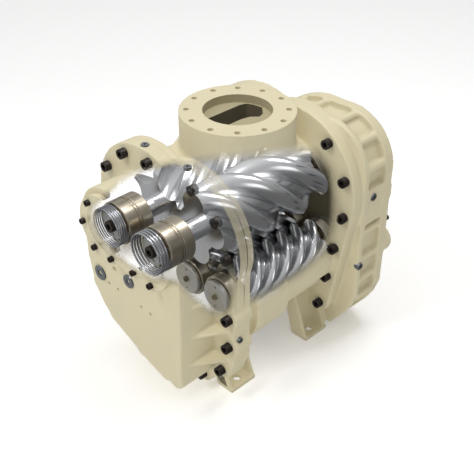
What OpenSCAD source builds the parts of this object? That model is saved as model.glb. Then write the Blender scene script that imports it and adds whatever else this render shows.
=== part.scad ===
// Two-stage oil-flooded screw compressor: two meshed rotor pairs in one split cast casing,
// driven through a step-up gear train.
// Frame: +Z up, -Y is the bearing-cover end, +Y is the gear and drive end. The origin is the
// centre of the four foot bolts on the base plane. All sizes are in millimetres.

/* [Stage-one rotors] */
// Distance between the two stage-one shafts
s1_cd = 176; // [170:1:180]
// Height of the stage-one shafts above the base
s1_z = 535; // [528:1:545]
// Diameter over the lobes of the stage-one male rotor
s1_male_d = 226; // [220:1:230]
// Lead of the stage-one male rotor
s1_lead = 562; // [480:1:640]
// Diameter of the stage-one rotor journals
s1_journal_d = 62; // [54:1:66]

/* [Stage-two rotors] */
// Distance between the two stage-two shafts
s2_cd = 124; // [122:1:127]
// Middle of the stage-two pair, sideways from the centre plane
s2_x = 80; // [74:1:86]
// Height of the stage-two shafts above the base
s2_z = 313; // [306:1:318]
// Diameter over the lobes of the stage-two male rotor
s2_male_d = 155; // [150:1:158]
// Lead of the stage-two male rotor
s2_lead = 252; // [230:1:300]
// Diameter of the stage-two rotor journals
s2_journal_d = 46; // [40:1:50]
// Distance of the stage-two lobes behind the front joint face
s2_setback = 80; // [75:1:90]

/* [Rotor fits] */
// Lobes on a male rotor
male_lobes = 4; // [4:1:4]
// Grooves in a female rotor
female_grooves = 6; // [6:1:6]
// Running gap between the rotor flanks
flank_gap = 1; // [0.8:0.1:1.2]
// Gap between the rotor tips and the bores
tip_gap = 1; // [0.8:0.1:2]
// Gap between the rotor ends and the end walls
end_gap = 3; // [2:0.5:4]

/* [Bearings] */
// Outer diameter of the stage-one bearings
s1_bearing_d = 130; // [124:1:132]
// Outer diameter of the stage-two bearings
s2_bearing_d = 118; // [112:1:120]
// Width of each stage-one bearing row
s1_row_w = 36; // [32:1:38]
// Gap between the two front rows of a stage-one bearing set
row_gap = 12; // [10:1:14]
// Depth of the front bearing rows behind the nose face
row_depth = 29; // [28:1:36]
// Width of each stage-two bearing
s2_row_w = 34; // [30:1:38]
// Radial clearance of every fixed ring on its seat
seat_gap = 0.05; // [0.02:0.01:0.1]
// Radial clearance between the rollers and their outer ring
roller_gap = 0.08; // [0.05:0.01:0.1]

/* [Preload springs] */
// Outer diameter of the left preload spring
spring_l_d = 122; // [112:1:124]
// Outer diameter of the right preload spring
spring_r_d = 128; // [122:1:128]
// Wire of the left spring
wire_l = 4.5; // [4:0.5:5]
// Wire of the right spring
wire_r = 6; // [5:0.5:7]
// Turns of the left spring
turns_l = 5; // [4:1:5]
// Turns of the right spring
turns_r = 4; // [3:1:4]

/* [Rotor housing] */
// Length of the rotor housing between its joint faces
body_len = 440; // [430:1:450]
// Wall around the stage-one bores
s1_wall = 26; // [20:1:30]
// Wall around the stage-two bores
s2_wall = 48; // [40:1:55]
// Radius of the front bulge around the stage-two male bore
bulge_r = 150; // [146:1:154]
// Thickness of the rotor housing's front flange
body_flange_t = 26; // [25:1:30]
// Thickness of the rear flange
rear_flange_t = 36; // [30:1:40]
// Radius of the rear flange lobes
rear_flange_r = 238; // [234:1:242]
// Bolt circle radius of the rear flange
rear_bolt_r = 213; // [210:1:215]

/* [Inlet] */
// Outer diameter of the inlet neck and flange
inlet_od = 340; // [336:1:345]
// Inlet bore
inlet_bore = 203; // [195:1:208]
// Bolt circle diameter of the inlet flange
inlet_pcd = 295; // [290:1:300]
// Tapped holes in the inlet flange
inlet_bolts = 12; // [8:4:16]
// Diameter of each tapped hole in the inlet flange
inlet_tap_d = 17.5; // [14:0.5:21]
// Height of the inlet flange face above the base
inlet_z = 785; // [780:1:800]
// Inlet centre, behind the middle of the rotor housing
inlet_y = 33; // [28:1:38]
// Depth of the inlet bore down to its ledge
inlet_depth = 26; // [22:1:30]

/* [Discharge branch] */
// Outer diameter of the discharge flange
outlet_od = 220; // [210:1:225]
// Bore of the discharge branch
outlet_bore = 100; // [90:1:106]
// Bolt circle diameter of the discharge flange
outlet_pcd = 180; // [175:1:185]
// Tapped holes in the discharge flange
outlet_bolts = 8; // [4:4:8]
// Diameter of each tapped hole in the discharge flange
outlet_tap_d = 14; // [12:0.5:17]
// Face of the discharge flange, left of the centre plane
outlet_x = 250; // [245:1:260]
// Discharge centre, behind the middle of the rotor housing
outlet_y = 60; // [50:1:62]
// Discharge centre height
outlet_z = 300; // [295:1:305]
// Length of the discharge branch from its flange face to its seat
branch_len = 100; // [96:1:104]
// Thickness of the discharge flange
outlet_flange_t = 30; // [26:1:32]
// Radius of the root flange of the discharge branch
root_r = 86; // [84:1:87]
// Thickness of that root flange
root_t = 16; // [14:1:20]
// Thread diameter of the root flange screws
root_screw_d = 10; // [8:1:10]
// Diameter of the passage from stage two to the discharge branch
passage_d = 88; // [80:1:92]

/* [Discharge housing] */
// Thickness of the front flange
front_flange_t = 40; // [34:1:44]
// Radius of the front flange lobes
front_flange_r = 205; // [202:1:208]
// Bolt circle radius on the front flange lobes
front_bolt_r = 176; // [173:1:179]
// Depth of the discharge housing from joint face to front face
nose_len = 169; // [167:1:172]
// Wall around the bearing bores
nose_wall = 56; // [50:1:60]
// Thickness of the bearing cover
cover_t = 20; // [18:1:22]
// Radius of the bearing cover lobes
cover_r = 104; // [102:1:108]
// Bolt circle radius on the bearing cover lobes
cover_bolt_r = 86; // [84:1:88]

/* [Gear case] */
// Depth of the gear case
case_len = 115; // [112:1:120]
// Depth of the gear case front rim
case_rim = 28; // [27:1:32]
// Depth of the pockets between the ribs
pocket_depth = 20; // [12:1:21]
// Wall of the gear case
case_wall = 42; // [40:1:44]
// Radius of the axial ribs
rib_r = 13; // [11:1:15]
// Depth of the rear cover
rear_len = 45; // [42:1:50]
// Thickness of the rear cover's flange
cover_flange_t = 25; // [22:1:28]
// Step from the edge of that flange to the raised middle of the rear cover
cover_step = 44; // [42:1:46]

/* [Gears and drive shaft] */
// Gear module
gear_module = 5; // [5:1:5]
// Teeth of the drive gear
drive_teeth = 72; // [72:1:72]
// Teeth of the stage-one pinion
pinion1_teeth = 24; // [24:1:24]
// Teeth of the stage-two pinion
pinion2_teeth = 18; // [18:1:18]
// Face width of the gears
gear_w = 40; // [32:1:42]
// Diameter of the drive shaft end
drive_d = 65; // [55:1:68]
// Free length of the drive shaft end
drive_len = 105; // [90:1:120]
// Diameter of the drive shaft at its inner bearing
spigot_d = 40; // [34:1:44]

/* [Feet] */
// Distance of the foot bolts from side to side
foot_x = 398; // [390:1:404]
// Distance of the foot bolts from front to rear
foot_y = 337; // [332:1:342]
// Length of each foot along the casing
foot_len = 103; // [96:1:110]
// Width of each foot
foot_w = 66; // [60:1:70]
// Wall of each foot
foot_t = 12; // [10:1:15]
// Foot bolt hole
foot_hole_d = 22; // [18:1:26]

/* [Fasteners] */
// Thread diameter of the flange cap screws
screw_d = 20; // [16:1:22]
// Grip of the flange cap screws below the flange
screw_bite = 22; // [20:1:22]
// Thread diameter of the cover cap screws
cover_screw_d = 12; // [10:1:12]
// Thread diameter of the rear cover screws
rear_screw_d = 12; // [10:1:14]
// Dowel pin diameter
dowel_d = 16; // [12:1:18]
// Radial clearance around screws, plugs and dowels
hole_gap = 0.3; // [0.2:0.1:0.5]

/* [Hidden] */
$fn = 96;

cast = [0.87, 0.83, 0.69];
steel = [0.62, 0.63, 0.65];
bright = [0.78, 0.78, 0.8];
ring_steel = [0.66, 0.62, 0.55];
black = [0.14, 0.12, 0.1];

// Joint faces
half = body_len / 2;
nose_y = -half - nose_len;
cover_y = nose_y - cover_t;
case_y = half + case_len;
rear_y = case_y + rear_len;

// Shaft places as [x, z]
m1 = [s1_cd / 2, s1_z];
f1 = [-s1_cd / 2, s1_z];
m2 = [s2_x + s2_cd / 2, s2_z];
f2 = [s2_x - s2_cd / 2, s2_z];

// The drive gear sits left of both pinions, a gear pair's distance from each
reach1 = gear_module * (drive_teeth + pinion1_teeth) / 2;
reach2 = gear_module * (drive_teeth + pinion2_teeth) / 2;
gap12 = norm(m2 - m1);
toward = (m2 - m1) / gap12;
along = (reach1 * reach1 - reach2 * reach2 + gap12 * gap12) / (2 * gap12);
aside = sqrt(reach1 * reach1 - along * along);
g = m1 + along * toward + aside * [toward[1], -toward[0]];
gear_r = gear_module * drive_teeth / 2 + gear_module;

// Rotor radii: the lobes and grooves are circles centred on the pitch circles
s1_pitch_m = s1_cd * male_lobes / (male_lobes + female_grooves);
s1_pitch_f = s1_cd - s1_pitch_m;
s2_pitch_m = s2_cd * male_lobes / (male_lobes + female_grooves);
s2_pitch_f = s2_cd - s2_pitch_m;
s1_bore_m = s1_male_d / 2 + tip_gap;
s1_bore_f = s1_pitch_f + tip_gap;
s2_bore_m = s2_male_d / 2 + tip_gap;
s2_bore_f = s2_pitch_f + tip_gap;
s1_len = body_len - 2 * end_gap;
s2_front = half - s2_setback;
s2_len = half - end_gap + s2_front;

// Bearing places along Y
row1_y = nose_y + row_depth;
row2_y = row1_y + s1_row_w + row_gap;
s1_rear_y = half + 20;
s2_front_y = -half + 34;
s2_rear_y = half + 14;
gear_y = case_y - gear_w - 3;
bosses_y = gear_y - 4;
case_flange_t = 24;
drive_in_d = 90;
drive_in_w = 23;
drive_in_y = half + case_flange_t + 2;
drive_out_d = 130;
drive_out_w = 30;
drive_out_y = rear_y - drive_out_w - 6;

// Other derived sizes
left_recess = 10;
right_recess = 15;
case_step = 6;
end_play = 0.3;
plate_t = 12;
s1_plate_r = 44;
s2_plate_r = s2_bearing_d / 2 - 9;
s1_front_end = row1_y - 2;
foot_out = foot_x / 2 + foot_w / 2;
foot_in = foot_out - foot_w;
foot_lean = tan(20);
seal_t = 12;
seal_d = 90;
seal_r = drive_d / 2 + 1.5;
fillet = 22;
case_c = [97, 519];
case_r = rear_flange_r - 2;
corner_c = [165, 590];
corner_r = 166;
gear_side_r = gear_r + 32;
shoulder = [g[1] - case_c[1], case_c[0] - g[0]] / norm(case_c - g);
case_floor_t = case_flange_t;
case_bolt_in = 30;
hole_end = 1;
gusset_t = 8;
gusset_places = [392, 283, 180];
gusset_out = 262;
wall_top = s2_z - bulge_r + 40;
foot_shin = 46;
front_low = [[262, 333], [262, 233], [232, 128], [151, 61], [-52, 104], [-166, 196], [-238, 330]];
front_bolts = concat(ring_points(m1, front_bolt_r, [2, 38, 73]),
  ring_points(f1, front_bolt_r, [77, 113, 150, 186]), front_low);
rear_low = [[270, 362], [249, 246], [226, 128], [-270, 362], [-249, 246], [-226, 128]];
rear_bolts = concat(ring_points(m1, rear_bolt_r, [-14, 19, 52]),
  ring_points(f1, rear_bolt_r, [128, 161, 194]), rear_low, [[60, 122], [-80, 122]]);
cover_bolts = concat(ring_points(f1, cover_bolt_r, [53, 127, 184, 241, 294]),
  ring_points(m1, cover_bolt_r, [127, 53, -4, -71, 240]));
side_ribs = [412, 312, 232, 162];
gear_ribs = [152, 182, 212];
case_bolts = concat(ring_points(case_c, case_r - case_bolt_in, [104, 128]),
  ring_points(corner_c, corner_r - case_bolt_in, [8, 40, 72]),
  ring_points(g, gear_side_r - rib_r - 1, gear_ribs),
  [[319, side_ribs[0]], [301, 235], [252, 96], [110, 54], [-40, 54], [-150, 100]]);
branch_bolts = ring_points([outlet_y, outlet_z], root_r - 12, [30, 90, 150, 210, 270, 330]);
dowels = [[262, 283], [-262, 470]];
dowel_len = 36;

// Points on a circle about c at the given angles
function ring_points(c, r, angles) = [for (a = angles) c + r * [cos(a), sin(a)]];

// Draws an outline given in X and Z, from y0 for a depth t towards the rear
module section(y0, t) {
  translate([0, y0 + t, 0]) rotate([90, 0, 0]) linear_extrude(t) children();
}

// A round bar along Y at the shaft place c
module bar(c, y0, t, r) {
  section(y0, t) translate(c) circle(r);
}

// A ring along Y
module ring(c, y0, t, r_out, r_in) {
  section(y0, t) translate(c) difference() {
    circle(r_out);
    circle(r_in);
  }
}

// A round bar along X, centred at [y, z]
module cross_bar(c, x0, t, r) {
  translate([x0, c[0], c[1]]) rotate([0, 90, 0]) cylinder(h = t, r = r);
}

// A straight-sided outline with rounded corners given as [x, z, radius]
module rounded(corners) {
  polygon([for (c = corners) [c[0], c[1]]]);
  for (c = corners) translate([c[0], c[1]]) circle(c[2]);
}

// A cap screw along Y: the head stands in front of seat_y, the shank runs behind it
module cap_screw(c, seat_y, d, l) {
  difference() {
    union() {
      bar(c, seat_y - d, d, d * 0.75);
      bar(c, seat_y, l, d / 2);
    }
    section(seat_y - d, d * 0.55) translate(c) circle(r = d * 0.46, $fn = 6);
  }
}

// A cap screw whose head stands behind seat_y
module rear_screw(c, seat_y, d, l) {
  difference() {
    union() {
      bar(c, seat_y, d, d * 0.75);
      bar(c, seat_y - l, l, d / 2);
    }
    section(seat_y + d * 0.45, d * 0.55) translate(c) circle(r = d * 0.46, $fn = 6);
  }
}

// Outlines in X and Z
module chamber_outline() {
  translate(m1) circle(s1_bore_m);
  translate(f1) circle(s1_bore_f);
}

module chamber2_outline() {
  translate(m2) circle(s2_bore_m);
  translate(f2) circle(s2_bore_f);
}

module barrel_outline() {
  translate(m1) circle(s1_bore_m + s1_wall);
  translate(f1) circle(s1_bore_m + s1_wall);
  translate(m2) circle(s2_bore_m + s2_wall);
  translate(f2) circle(s2_bore_m + s2_wall);
  polygon([[f1[0], s1_z + s1_bore_m + s1_wall], [m1[0], s1_z + s1_bore_m + s1_wall],
    [m1[0] + s1_bore_m + s1_wall, s1_z], [m2[0] + s2_bore_m + s2_wall, s2_z],
    [m2[0], s2_z - s2_bore_m - s2_wall], [f2[0], s2_z - s2_bore_m - s2_wall],
    [f2[0] - s2_bore_m - s2_wall, s2_z], [f1[0] - s1_bore_m - s1_wall, s1_z]]);
}

module front_flange_outline() {
  for (c = [m1, f1]) translate(c) circle(front_flange_r);
  polygon([m1 + [0, front_flange_r * 0.55], m1 + [front_flange_r * 0.8, 0], [281, 460],
    [281, 180], [262, 128], [151, 31], [60, 44], [-70, 76], [-190, 180], [-262, 330],
    f1 - [front_flange_r * 0.97, 70], f1 + [0, front_flange_r * 0.55]]);
  for (c = front_low) translate(c) circle(screw_d * 1.5);
}

module rear_flange_outline() {
  for (c = [m1, f1]) translate(c) circle(rear_flange_r);
  polygon([m1 + [rear_flange_r, 0], [300, 362], [279, 246], [256, 128], [226, 98],
    [-226, 98], [-256, 128], [-279, 246], [-300, 362], f1 - [rear_flange_r, 0]]);
  for (s = [-1, 1]) translate([s * 226, 128]) circle(30);
}

module nose_outline() {
  for (c = [m1, f1]) translate(c) circle(s1_bearing_d / 2 + nose_wall);
  polygon([m1 + [0, s1_bearing_d / 2 + nose_wall], m1 + [s1_bearing_d / 2 + nose_wall, 0],
    [206, 300], [198, 150], [178, 118], [125, 98], [50, 120], [-100, 184], [-150, 226],
    [-187, 284], [-205, 380], f1 - [s1_bearing_d / 2 + nose_wall, 0],
    f1 + [0, s1_bearing_d / 2 + nose_wall]]);
  rounded([[170, 130, 32], [24, 155, 28], [-100, 216, 30], [-160, 300, 34], [40, 300, 20]]);
}

module case_outline(inset = 0) {
  translate(case_c) circle(case_r - inset);
  translate(corner_c) circle(corner_r - inset);
  translate(g) circle(gear_side_r - inset);
  polygon([case_c, case_c + (case_r - inset - 3) * shoulder,
    g + (gear_side_r - inset - 3) * shoulder, g]);
  polygon([[case_c[0], case_c[1] + case_r - inset - 40], [326 - inset, 505],
    [331 - inset, 440], [331 - inset, 185], [312 - inset, 128 + inset * 0.2],
    [286 - inset * 0.9, 84 + inset * 0.7], [240 - inset * 0.4, 24 + inset],
    [-120 + inset * 0.5, 24 + inset], [-170 + inset, 58 + inset * 0.5],
    [-262 + inset, 300], [g[0], g[1] + 60]]);
}

// The rotor housing is one casting, given as a barrel, two flanges and four feet that touch
module rotor_housing() color(cast) difference() {
  union() {
    section(-half + body_flange_t, body_len - body_flange_t - rear_flange_t) barrel_outline();
    bar(m2, -172, 130, bulge_r);
    translate([0, inlet_y, s1_z]) cylinder(h = inlet_z - s1_z, d = inlet_od);
    neck_fillet();
    cross_bar([outlet_y, outlet_z], -outlet_x + branch_len, outlet_x - branch_len - 60, root_r);
  }
  housing_hollows();
  section(half - rear_flange_t, rear_flange_t + fillet) rear_flange_outline();
  translate([0, inlet_y, inlet_z - inlet_depth]) cylinder(h = inlet_depth + 1, d = inlet_bore);
  inlet_port();
  for (k = [0 : inlet_bolts - 1]) rotate_about_inlet(k) cylinder(h = 41, d = inlet_tap_d);
  cross_bar([outlet_y, outlet_z], -outlet_x + branch_len - 1,
    outlet_x - branch_len + 1 + f2[0] - s2_bore_f + 30, passage_d / 2);
  for (c = branch_bolts) cross_bar(c, -outlet_x + branch_len - 1, screw_bite + 2,
    root_screw_d / 2 + hole_gap);
}

module housing_front_flange() color(cast) difference() {
  union() {
    section(-half, body_flange_t) front_flange_outline();
    for (sx = [-1, 1]) foot_run(sx, -half, body_flange_t);
    for (sx = [-1, 1]) foot_end(sx, -half);
  }
  housing_hollows();
}

module housing_rear_flange() color(cast) difference() {
  union() {
    section(half - rear_flange_t, rear_flange_t) rear_flange_outline();
    for (sx = [-1, 1]) foot_run(sx, half - rear_flange_t, rear_flange_t);
    for (sx = [-1, 1]) foot_end(sx, half - foot_t);
  }
  housing_hollows();
}

// Chambers, bearing seats, ways and screw holes that run through the rotor housing
module housing_hollows() {
  section(-half - 1, body_len + 2) chamber_outline();
  section(-s2_front - end_gap, half + s2_front + end_gap + 1) chamber2_outline();
  for (c = [m2, f2]) {
    bar(c, -half - 1, half - s2_front - end_gap + 2, s2_journal_d / 2 + 2);
    bar(c, -half - 1, s2_front_y + s2_row_w + half + 1, s2_bearing_d / 2 + seat_gap);
  }
  // Way from the discharge housing back into the front of stage two
  section(-half - 1, 61) transfer_way();
  section(-half + 59, 80) translate([s2_x - way_w / 2, s2_z + 30]) square([way_w, 66]);
  for (c = front_bolts) bar(c, -half - 1, screw_bite + hole_end + 1, screw_d / 2 + hole_gap);
  for (c = rear_bolts) {
    bar(c, half - rear_flange_t - 1, rear_flange_t + 2, screw_d / 2 + hole_gap);
    bar(c, half - rear_flange_t - 50, 50, screw_d * 0.75 + 3);
  }
  for (c = dowels) bar(c, -half - 1, dowel_len / 2 + 1, dowel_d / 2 + hole_gap);
}

way_w = 48;

module transfer_way() {
  translate([s2_x - way_w / 2, s2_z + 62]) square([way_w, 34]);
}

module discharge_branch() color(cast) difference() {
  union() {
    cross_bar([outlet_y, outlet_z], -outlet_x, outlet_flange_t, outlet_od / 2);
    cross_bar([outlet_y, outlet_z], -outlet_x, branch_len, outlet_bore / 2 + 12);
    cross_bar([outlet_y, outlet_z], -outlet_x + branch_len - root_t, root_t, root_r);
  }
  cross_bar([outlet_y, outlet_z], -outlet_x - 1, branch_len + 2, outlet_bore / 2);
  for (c = ring_points([outlet_y, outlet_z], outlet_pcd / 2,
      [for (k = [0 : outlet_bolts - 1]) (k + 0.5) * 360 / outlet_bolts]))
    cross_bar(c, -outlet_x - 1, outlet_flange_t - 3, outlet_tap_d / 2);
  for (c = branch_bolts)
    cross_bar(c, -outlet_x + branch_len - root_t - 1, root_t + 2, root_screw_d / 2 + hole_gap);
}

module rotate_about_inlet(k) {
  translate([0, inlet_y, inlet_z - 40]) rotate(15 + k * 360 / inlet_bolts)
    translate([inlet_pcd / 2, 0, 0]) children();
}

// Rounded root of the inlet neck
module neck_fillet() {
  translate([0, inlet_y, s1_z + s1_bore_m + s1_wall - 4]) rotate_extrude() difference() {
    square([inlet_od / 2 + fillet, fillet]);
    translate([inlet_od / 2 + fillet, fillet]) circle(fillet);
  }
}

// The port below the ledge of the inlet bore, leading into both chambers
module inlet_port() {
  translate([0, inlet_y, s1_z + 20]) linear_extrude(inlet_z - inlet_depth - s1_z - 19)
    polygon([[-55, -80], [-55, 64], [-48, 84], [-26, 94], [4, 97], [34, 70], [40, 48],
      [22, 29], [15, 0], [15, -80]]);
}

// End wall of a foot
module foot_end(sx, y0) {
  section(y0, foot_t) scale_x(sx) polygon([[foot_in, 0], [foot_out, 0],
    [foot_out - wall_top * foot_lean, wall_top], [foot_in - foot_shin, wall_top + 30],
    [foot_in - foot_shin, wall_top - 40]]);
}

// Base plate and inner wall of a foot
module foot_run(sx, y0, length) {
  section(y0, length) scale_x(sx) {
    translate([foot_in, 0]) square([foot_w, foot_t]);
    polygon([[foot_in, 0], [foot_in + foot_t, 0], [foot_in + foot_t - 14, wall_top],
      [foot_in - 40, wall_top + 20], [foot_in - 40, wall_top - 34]]);
  }
}

module foot_holes() {
  for (sx = [-1, 1], sy = [-1, 1]) translate([sx * foot_x / 2, sy * foot_y / 2, -1])
    cylinder(h = foot_t + 2, d = foot_hole_d);
}

// The part of a pair of feet clear of its flange, cut to the barrel they hang from
module feet(y0, y1, y_end) {
  difference() {
    for (sx = [-1, 1]) {
      foot_run(sx, y0, y1 - y0);
      foot_end(sx, y_end);
    }
    section(-half, body_len) barrel_outline();
    bar(m2, -172, 130, bulge_r);
    foot_holes();
  }
}

module front_feet() color(cast)
  feet(-half + body_flange_t, -half + foot_len, -half + foot_len - foot_t);

module rear_feet() color(cast) feet(half - foot_len, half - rear_flange_t, half - foot_len);

// Swaps left and right when s is -1
module scale_x(s) {
  mirror([s < 0 ? 1 : 0, 0, 0]) children();
}

module discharge_housing() color(cast) difference() {
  union() {
    section(-half - front_flange_t, front_flange_t) front_flange_outline();
    section(nose_y, nose_len) nose_outline();
    // Gussets between the flange screws on the right side
    for (z = gusset_places) translate([0, 0, z - gusset_t / 2]) linear_extrude(gusset_t)
      polygon([[150, nose_y + 29], [gusset_out - 56, nose_y + 39],
        [gusset_out, -half - front_flange_t + 1], [150, -half - front_flange_t + 1]]);
  }
  for (c = [m1, f1]) {
    bar(c, nose_y - 1, row2_y + s1_row_w - nose_y + 1, s1_bearing_d / 2 + seat_gap);
    bar(c, nose_y, nose_len + 1, s1_journal_d / 2 + 2);
  }
  // Transfer chamber from the stage-one outlet to the stage-two inlet
  section(nose_y + 20, nose_len - 46) polygon([[-165, 415], [-150, 315], [-85, 232],
    [30, 178], [125, 136], [158, 160], [168, 300], [160, 415]]);
  section(-half - 30, 31) translate([-26, 400]) square([52, 96]);
  section(-half - 30, 31) transfer_way();
  for (c = front_bolts)
    bar(c, -half - front_flange_t - 1, front_flange_t + 2, screw_d / 2 + hole_gap);
  for (c = front_bolts)
    bar(c, -half - front_flange_t - 60, 60, screw_d * 0.75 + 3);
  for (c = cover_bolts) bar(c, nose_y - 1, 27, cover_screw_d / 2 + hole_gap);
  for (c = dowels) bar(c, -half - dowel_len / 2, dowel_len, dowel_d / 2 + hole_gap);
  cross_bar(side_plug_place, side_plug_seat, 40, side_plug_r + hole_gap);
  for (c = oil_plug_places)
    bar([c[0], c[1]], nose_y - 1, oil_plug_depth + 1, c[2] / 2 + hole_gap);
  for (c = oil_taps) bar(c, nose_y - 1, 13, 5);
  bar([-80, 395], nose_y - 1, 11, 8);
  for (x = [f1[0], m1[0]]) translate([x, top_plug_y, top_plug_z])
    cylinder(h = 20, r = case_plug_r + hole_gap);
}

// Front oil plugs as [x, z, diameter], and the tapped holes between them
oil_plug_places = [[-149, 347, 48], [-12, 388, 42]];
oil_plug_depth = 14;
oil_taps = [[-113, 326], [-72, 324], [35, 320], [75, 318]];

// Plug in the right edge of the front flange as [y, z]
side_plug_place = [-half - 18, 258];
side_plug_r = 8;
side_plug_seat = 267;

// Plugs in the top edge of the front flange
case_plug_r = 11;
top_plug_y = -half - front_flange_t / 2;
top_plug_z = s1_z + front_flange_r - 8;

module bearing_cover() color(cast) difference() {
  section(cover_y, cover_t) {
    for (c = [m1, f1]) translate(c) circle(cover_r);
    translate([f1[0], s1_z - cover_r + 14]) square([s1_cd, 2 * cover_r - 28]);
  }
  bar(f1, nose_y - left_recess, left_recess + 1, s1_bearing_d / 2 - 2);
  bar(m1, nose_y - right_recess, right_recess + 1, s1_bearing_d / 2);
  for (c = cover_bolts) bar(c, cover_y - 1, cover_t + 2, cover_screw_d / 2 + hole_gap);
}

// Half-round rib between the front rim and the rear rim of the gear case
module case_rib(c) {
  bar(c, half + case_rim - 1, case_len - case_rim, rib_r);
}

module gear_case() color(cast) difference() {
  union() {
    section(half + case_step, case_rim - case_step) case_outline();
    section(half, case_flange_t) rear_flange_outline();
    section(half + case_step, case_len - case_step) case_outline(pocket_depth);
    section(case_y - rear_rim_t, rear_rim_t) case_outline();
    for (c = ring_points(corner_c, corner_r - rib_r - 1, [77, 44, 13])) case_rib(c);
    for (c = ring_points(case_c, case_r - rib_r - 1, [92, 115])) case_rib(c);
    for (c = ring_points(g, gear_side_r - rib_r - 1, gear_ribs)) case_rib(c);
    for (z = side_ribs) case_rib([side_rib_x, z]);
    // Pad round the upper side plug
    section(half + case_step, case_len - case_step) translate(pad_place)
      square(pad_size, center = true);
  }
  difference() {
    section(half + case_floor_t, case_len) case_outline(case_wall);
    for (c = [m1, f1]) bar(c, half, bosses_y - half, s1_bearing_d / 2 + 14);
    for (c = [m2, f2]) bar(c, half, bosses_y - half, s2_bearing_d / 2 + 12);
    bar(g, half, bosses_y - half, drive_in_d / 2 + 14);
  }
  for (c = [m1, f1]) {
    bar(c, half - 1, 60, s1_journal_d / 2 + 2);
    bar(c, s1_rear_y, case_len, s1_bearing_d / 2 + seat_gap);
  }
  for (c = [m2, f2]) {
    bar(c, half - 1, 60, s2_journal_d / 2 + 2);
    bar(c, s2_rear_y, case_len, s2_bearing_d / 2 + seat_gap);
  }
  bar(g, drive_in_y, case_len, drive_in_d / 2 + seat_gap);
  section(gear_y - 3, case_len) translate(g) circle(gear_r + 4);
  for (c = rear_bolts) bar(c, half - 1, screw_bite + hole_end + 1, screw_d / 2 + hole_gap);
  for (c = case_bolts) bar(c, case_y - screw_bite - hole_end, screw_bite + 2,
    rear_screw_d / 2 + hole_gap);
  for (c = case_plug_places)
    cross_bar([c[0], c[1]], c[2] - case_plug_seat, 40, case_plug_r + hole_gap);
}

rear_rim_t = 12;
side_rib_x = 317;
pad_place = [316, 500];
pad_size = [24, 120];

// Side plugs of the gear case as [y, z, x of the face they sit in], and the depth of their seats
case_plug_places = [[276, 529, 328], [237, 296, 331]];
case_plug_seat = 14;

module rear_cover() color(cast) difference() {
  union() {
    section(case_y, cover_flange_t) case_outline();
    section(case_y, rear_len) case_outline(cover_step);
    section(rear_y, hub_t) translate(g) circle(drive_out_d / 2 + 20);
    bar(side_boss, case_y, rear_len + hub_t, side_boss_r);
  }
  difference() {
    section(case_y - 1, rear_len - 14) case_outline(cover_step + 14);
    bar(g, case_y - 2, rear_len, drive_out_d / 2 + 16);
  }
  bar(g, case_y - 1, drive_out_y + drive_out_w - case_y + 1, drive_out_d / 2 + seat_gap);
  bar(g, case_y, rear_len + 20, drive_d / 2 + 4);
  bar(g, rear_y + hub_t - seal_t, seal_t + 1, seal_d / 2 + seat_gap);
  for (c = case_bolts) bar(c, case_y - 1, cover_flange_t + 2, rear_screw_d / 2 + hole_gap);
}

hub_t = 14;

// Blind boss near the right edge of the rear cover as [x, z], and its radius
side_boss = [287, 316];
side_boss_r = 46;

// Fasteners
module front_cap_screws() color(black)
  for (c = front_bolts) cap_screw(c, -half - front_flange_t, screw_d, front_flange_t + screw_bite);

module rear_cap_screws() color(black)
  for (c = rear_bolts) cap_screw(c, half - rear_flange_t, screw_d, rear_flange_t + screw_bite);

module cover_cap_screws() color(black)
  for (c = cover_bolts) cap_screw(c, cover_y, cover_screw_d, cover_t + 24);

module rear_cover_screws() color(black)
  for (c = case_bolts)
    rear_screw(c, case_y + cover_flange_t, rear_screw_d, cover_flange_t + screw_bite);

module branch_cap_screws() color(black)
  for (c = branch_bolts) translate([-outlet_x + branch_len - root_t, c[0], c[1]])
    rotate([0, 0, -90]) cap_screw([0, 0], 0, root_screw_d, root_t + screw_bite);

module dowel_pins() color(steel)
  for (c = dowels) bar(c, -half - dowel_len / 2, dowel_len, dowel_d / 2);

module plug(r, t) {
  difference() {
    cylinder(h = t, r = r);
    translate([0, 0, t - 5]) cylinder(h = 6, r = r * 0.42, $fn = 6);
  }
}

module casing_plugs() color(steel) {
  for (x = [f1[0], m1[0]]) translate([x, top_plug_y, top_plug_z]) plug(case_plug_r, 10);
  for (c = case_plug_places) translate([c[2] - case_plug_seat, c[0], c[1]])
    rotate([0, 90, 0]) plug(case_plug_r, case_plug_seat + 3);
  translate([side_plug_seat, side_plug_place[0], side_plug_place[1]]) rotate([0, 90, 0])
    plug(side_plug_r, 20);
}

module oil_plugs() color(steel)
  for (c = oil_plug_places) translate([c[0], nose_y + oil_plug_depth, c[1]])
    rotate([90, 0, 0]) plug(c[2] / 2, oil_plug_depth + 4);

module shaft_seal() color(black)
  ring(g, rear_y + hub_t - seal_t, seal_t, seal_d / 2, seal_r + 0.1);

// Bearings
function race(od, id) = (od - id) * 0.13;

module outer_ring(c, y0, w, od, id) {
  ring(c, y0, w, od / 2, od / 2 - race(od, id));
}

// Inner ring with its rollers
module roller_row(c, y0, w, od, id) {
  inner = id / 2 + race(od, id);
  roller = (od / 2 - race(od, id) - inner - roller_gap) / 2;
  mid = od / 2 - race(od, id) - roller_gap - roller;
  count = floor(PI * mid / roller / 1.12);
  difference() {
    union() {
      bar(c, y0, w, inner + 0.6);
      ring(c, y0 + 3, w - 6, mid + 1.5, inner);
      for (k = [0 : count - 1])
        bar(c + mid * [cos(k * 360 / count), sin(k * 360 / count)], y0 + 2, w - 4, roller);
    }
    bar(c, y0 - 1, w + 2, id / 2 + seat_gap);
  }
}

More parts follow.
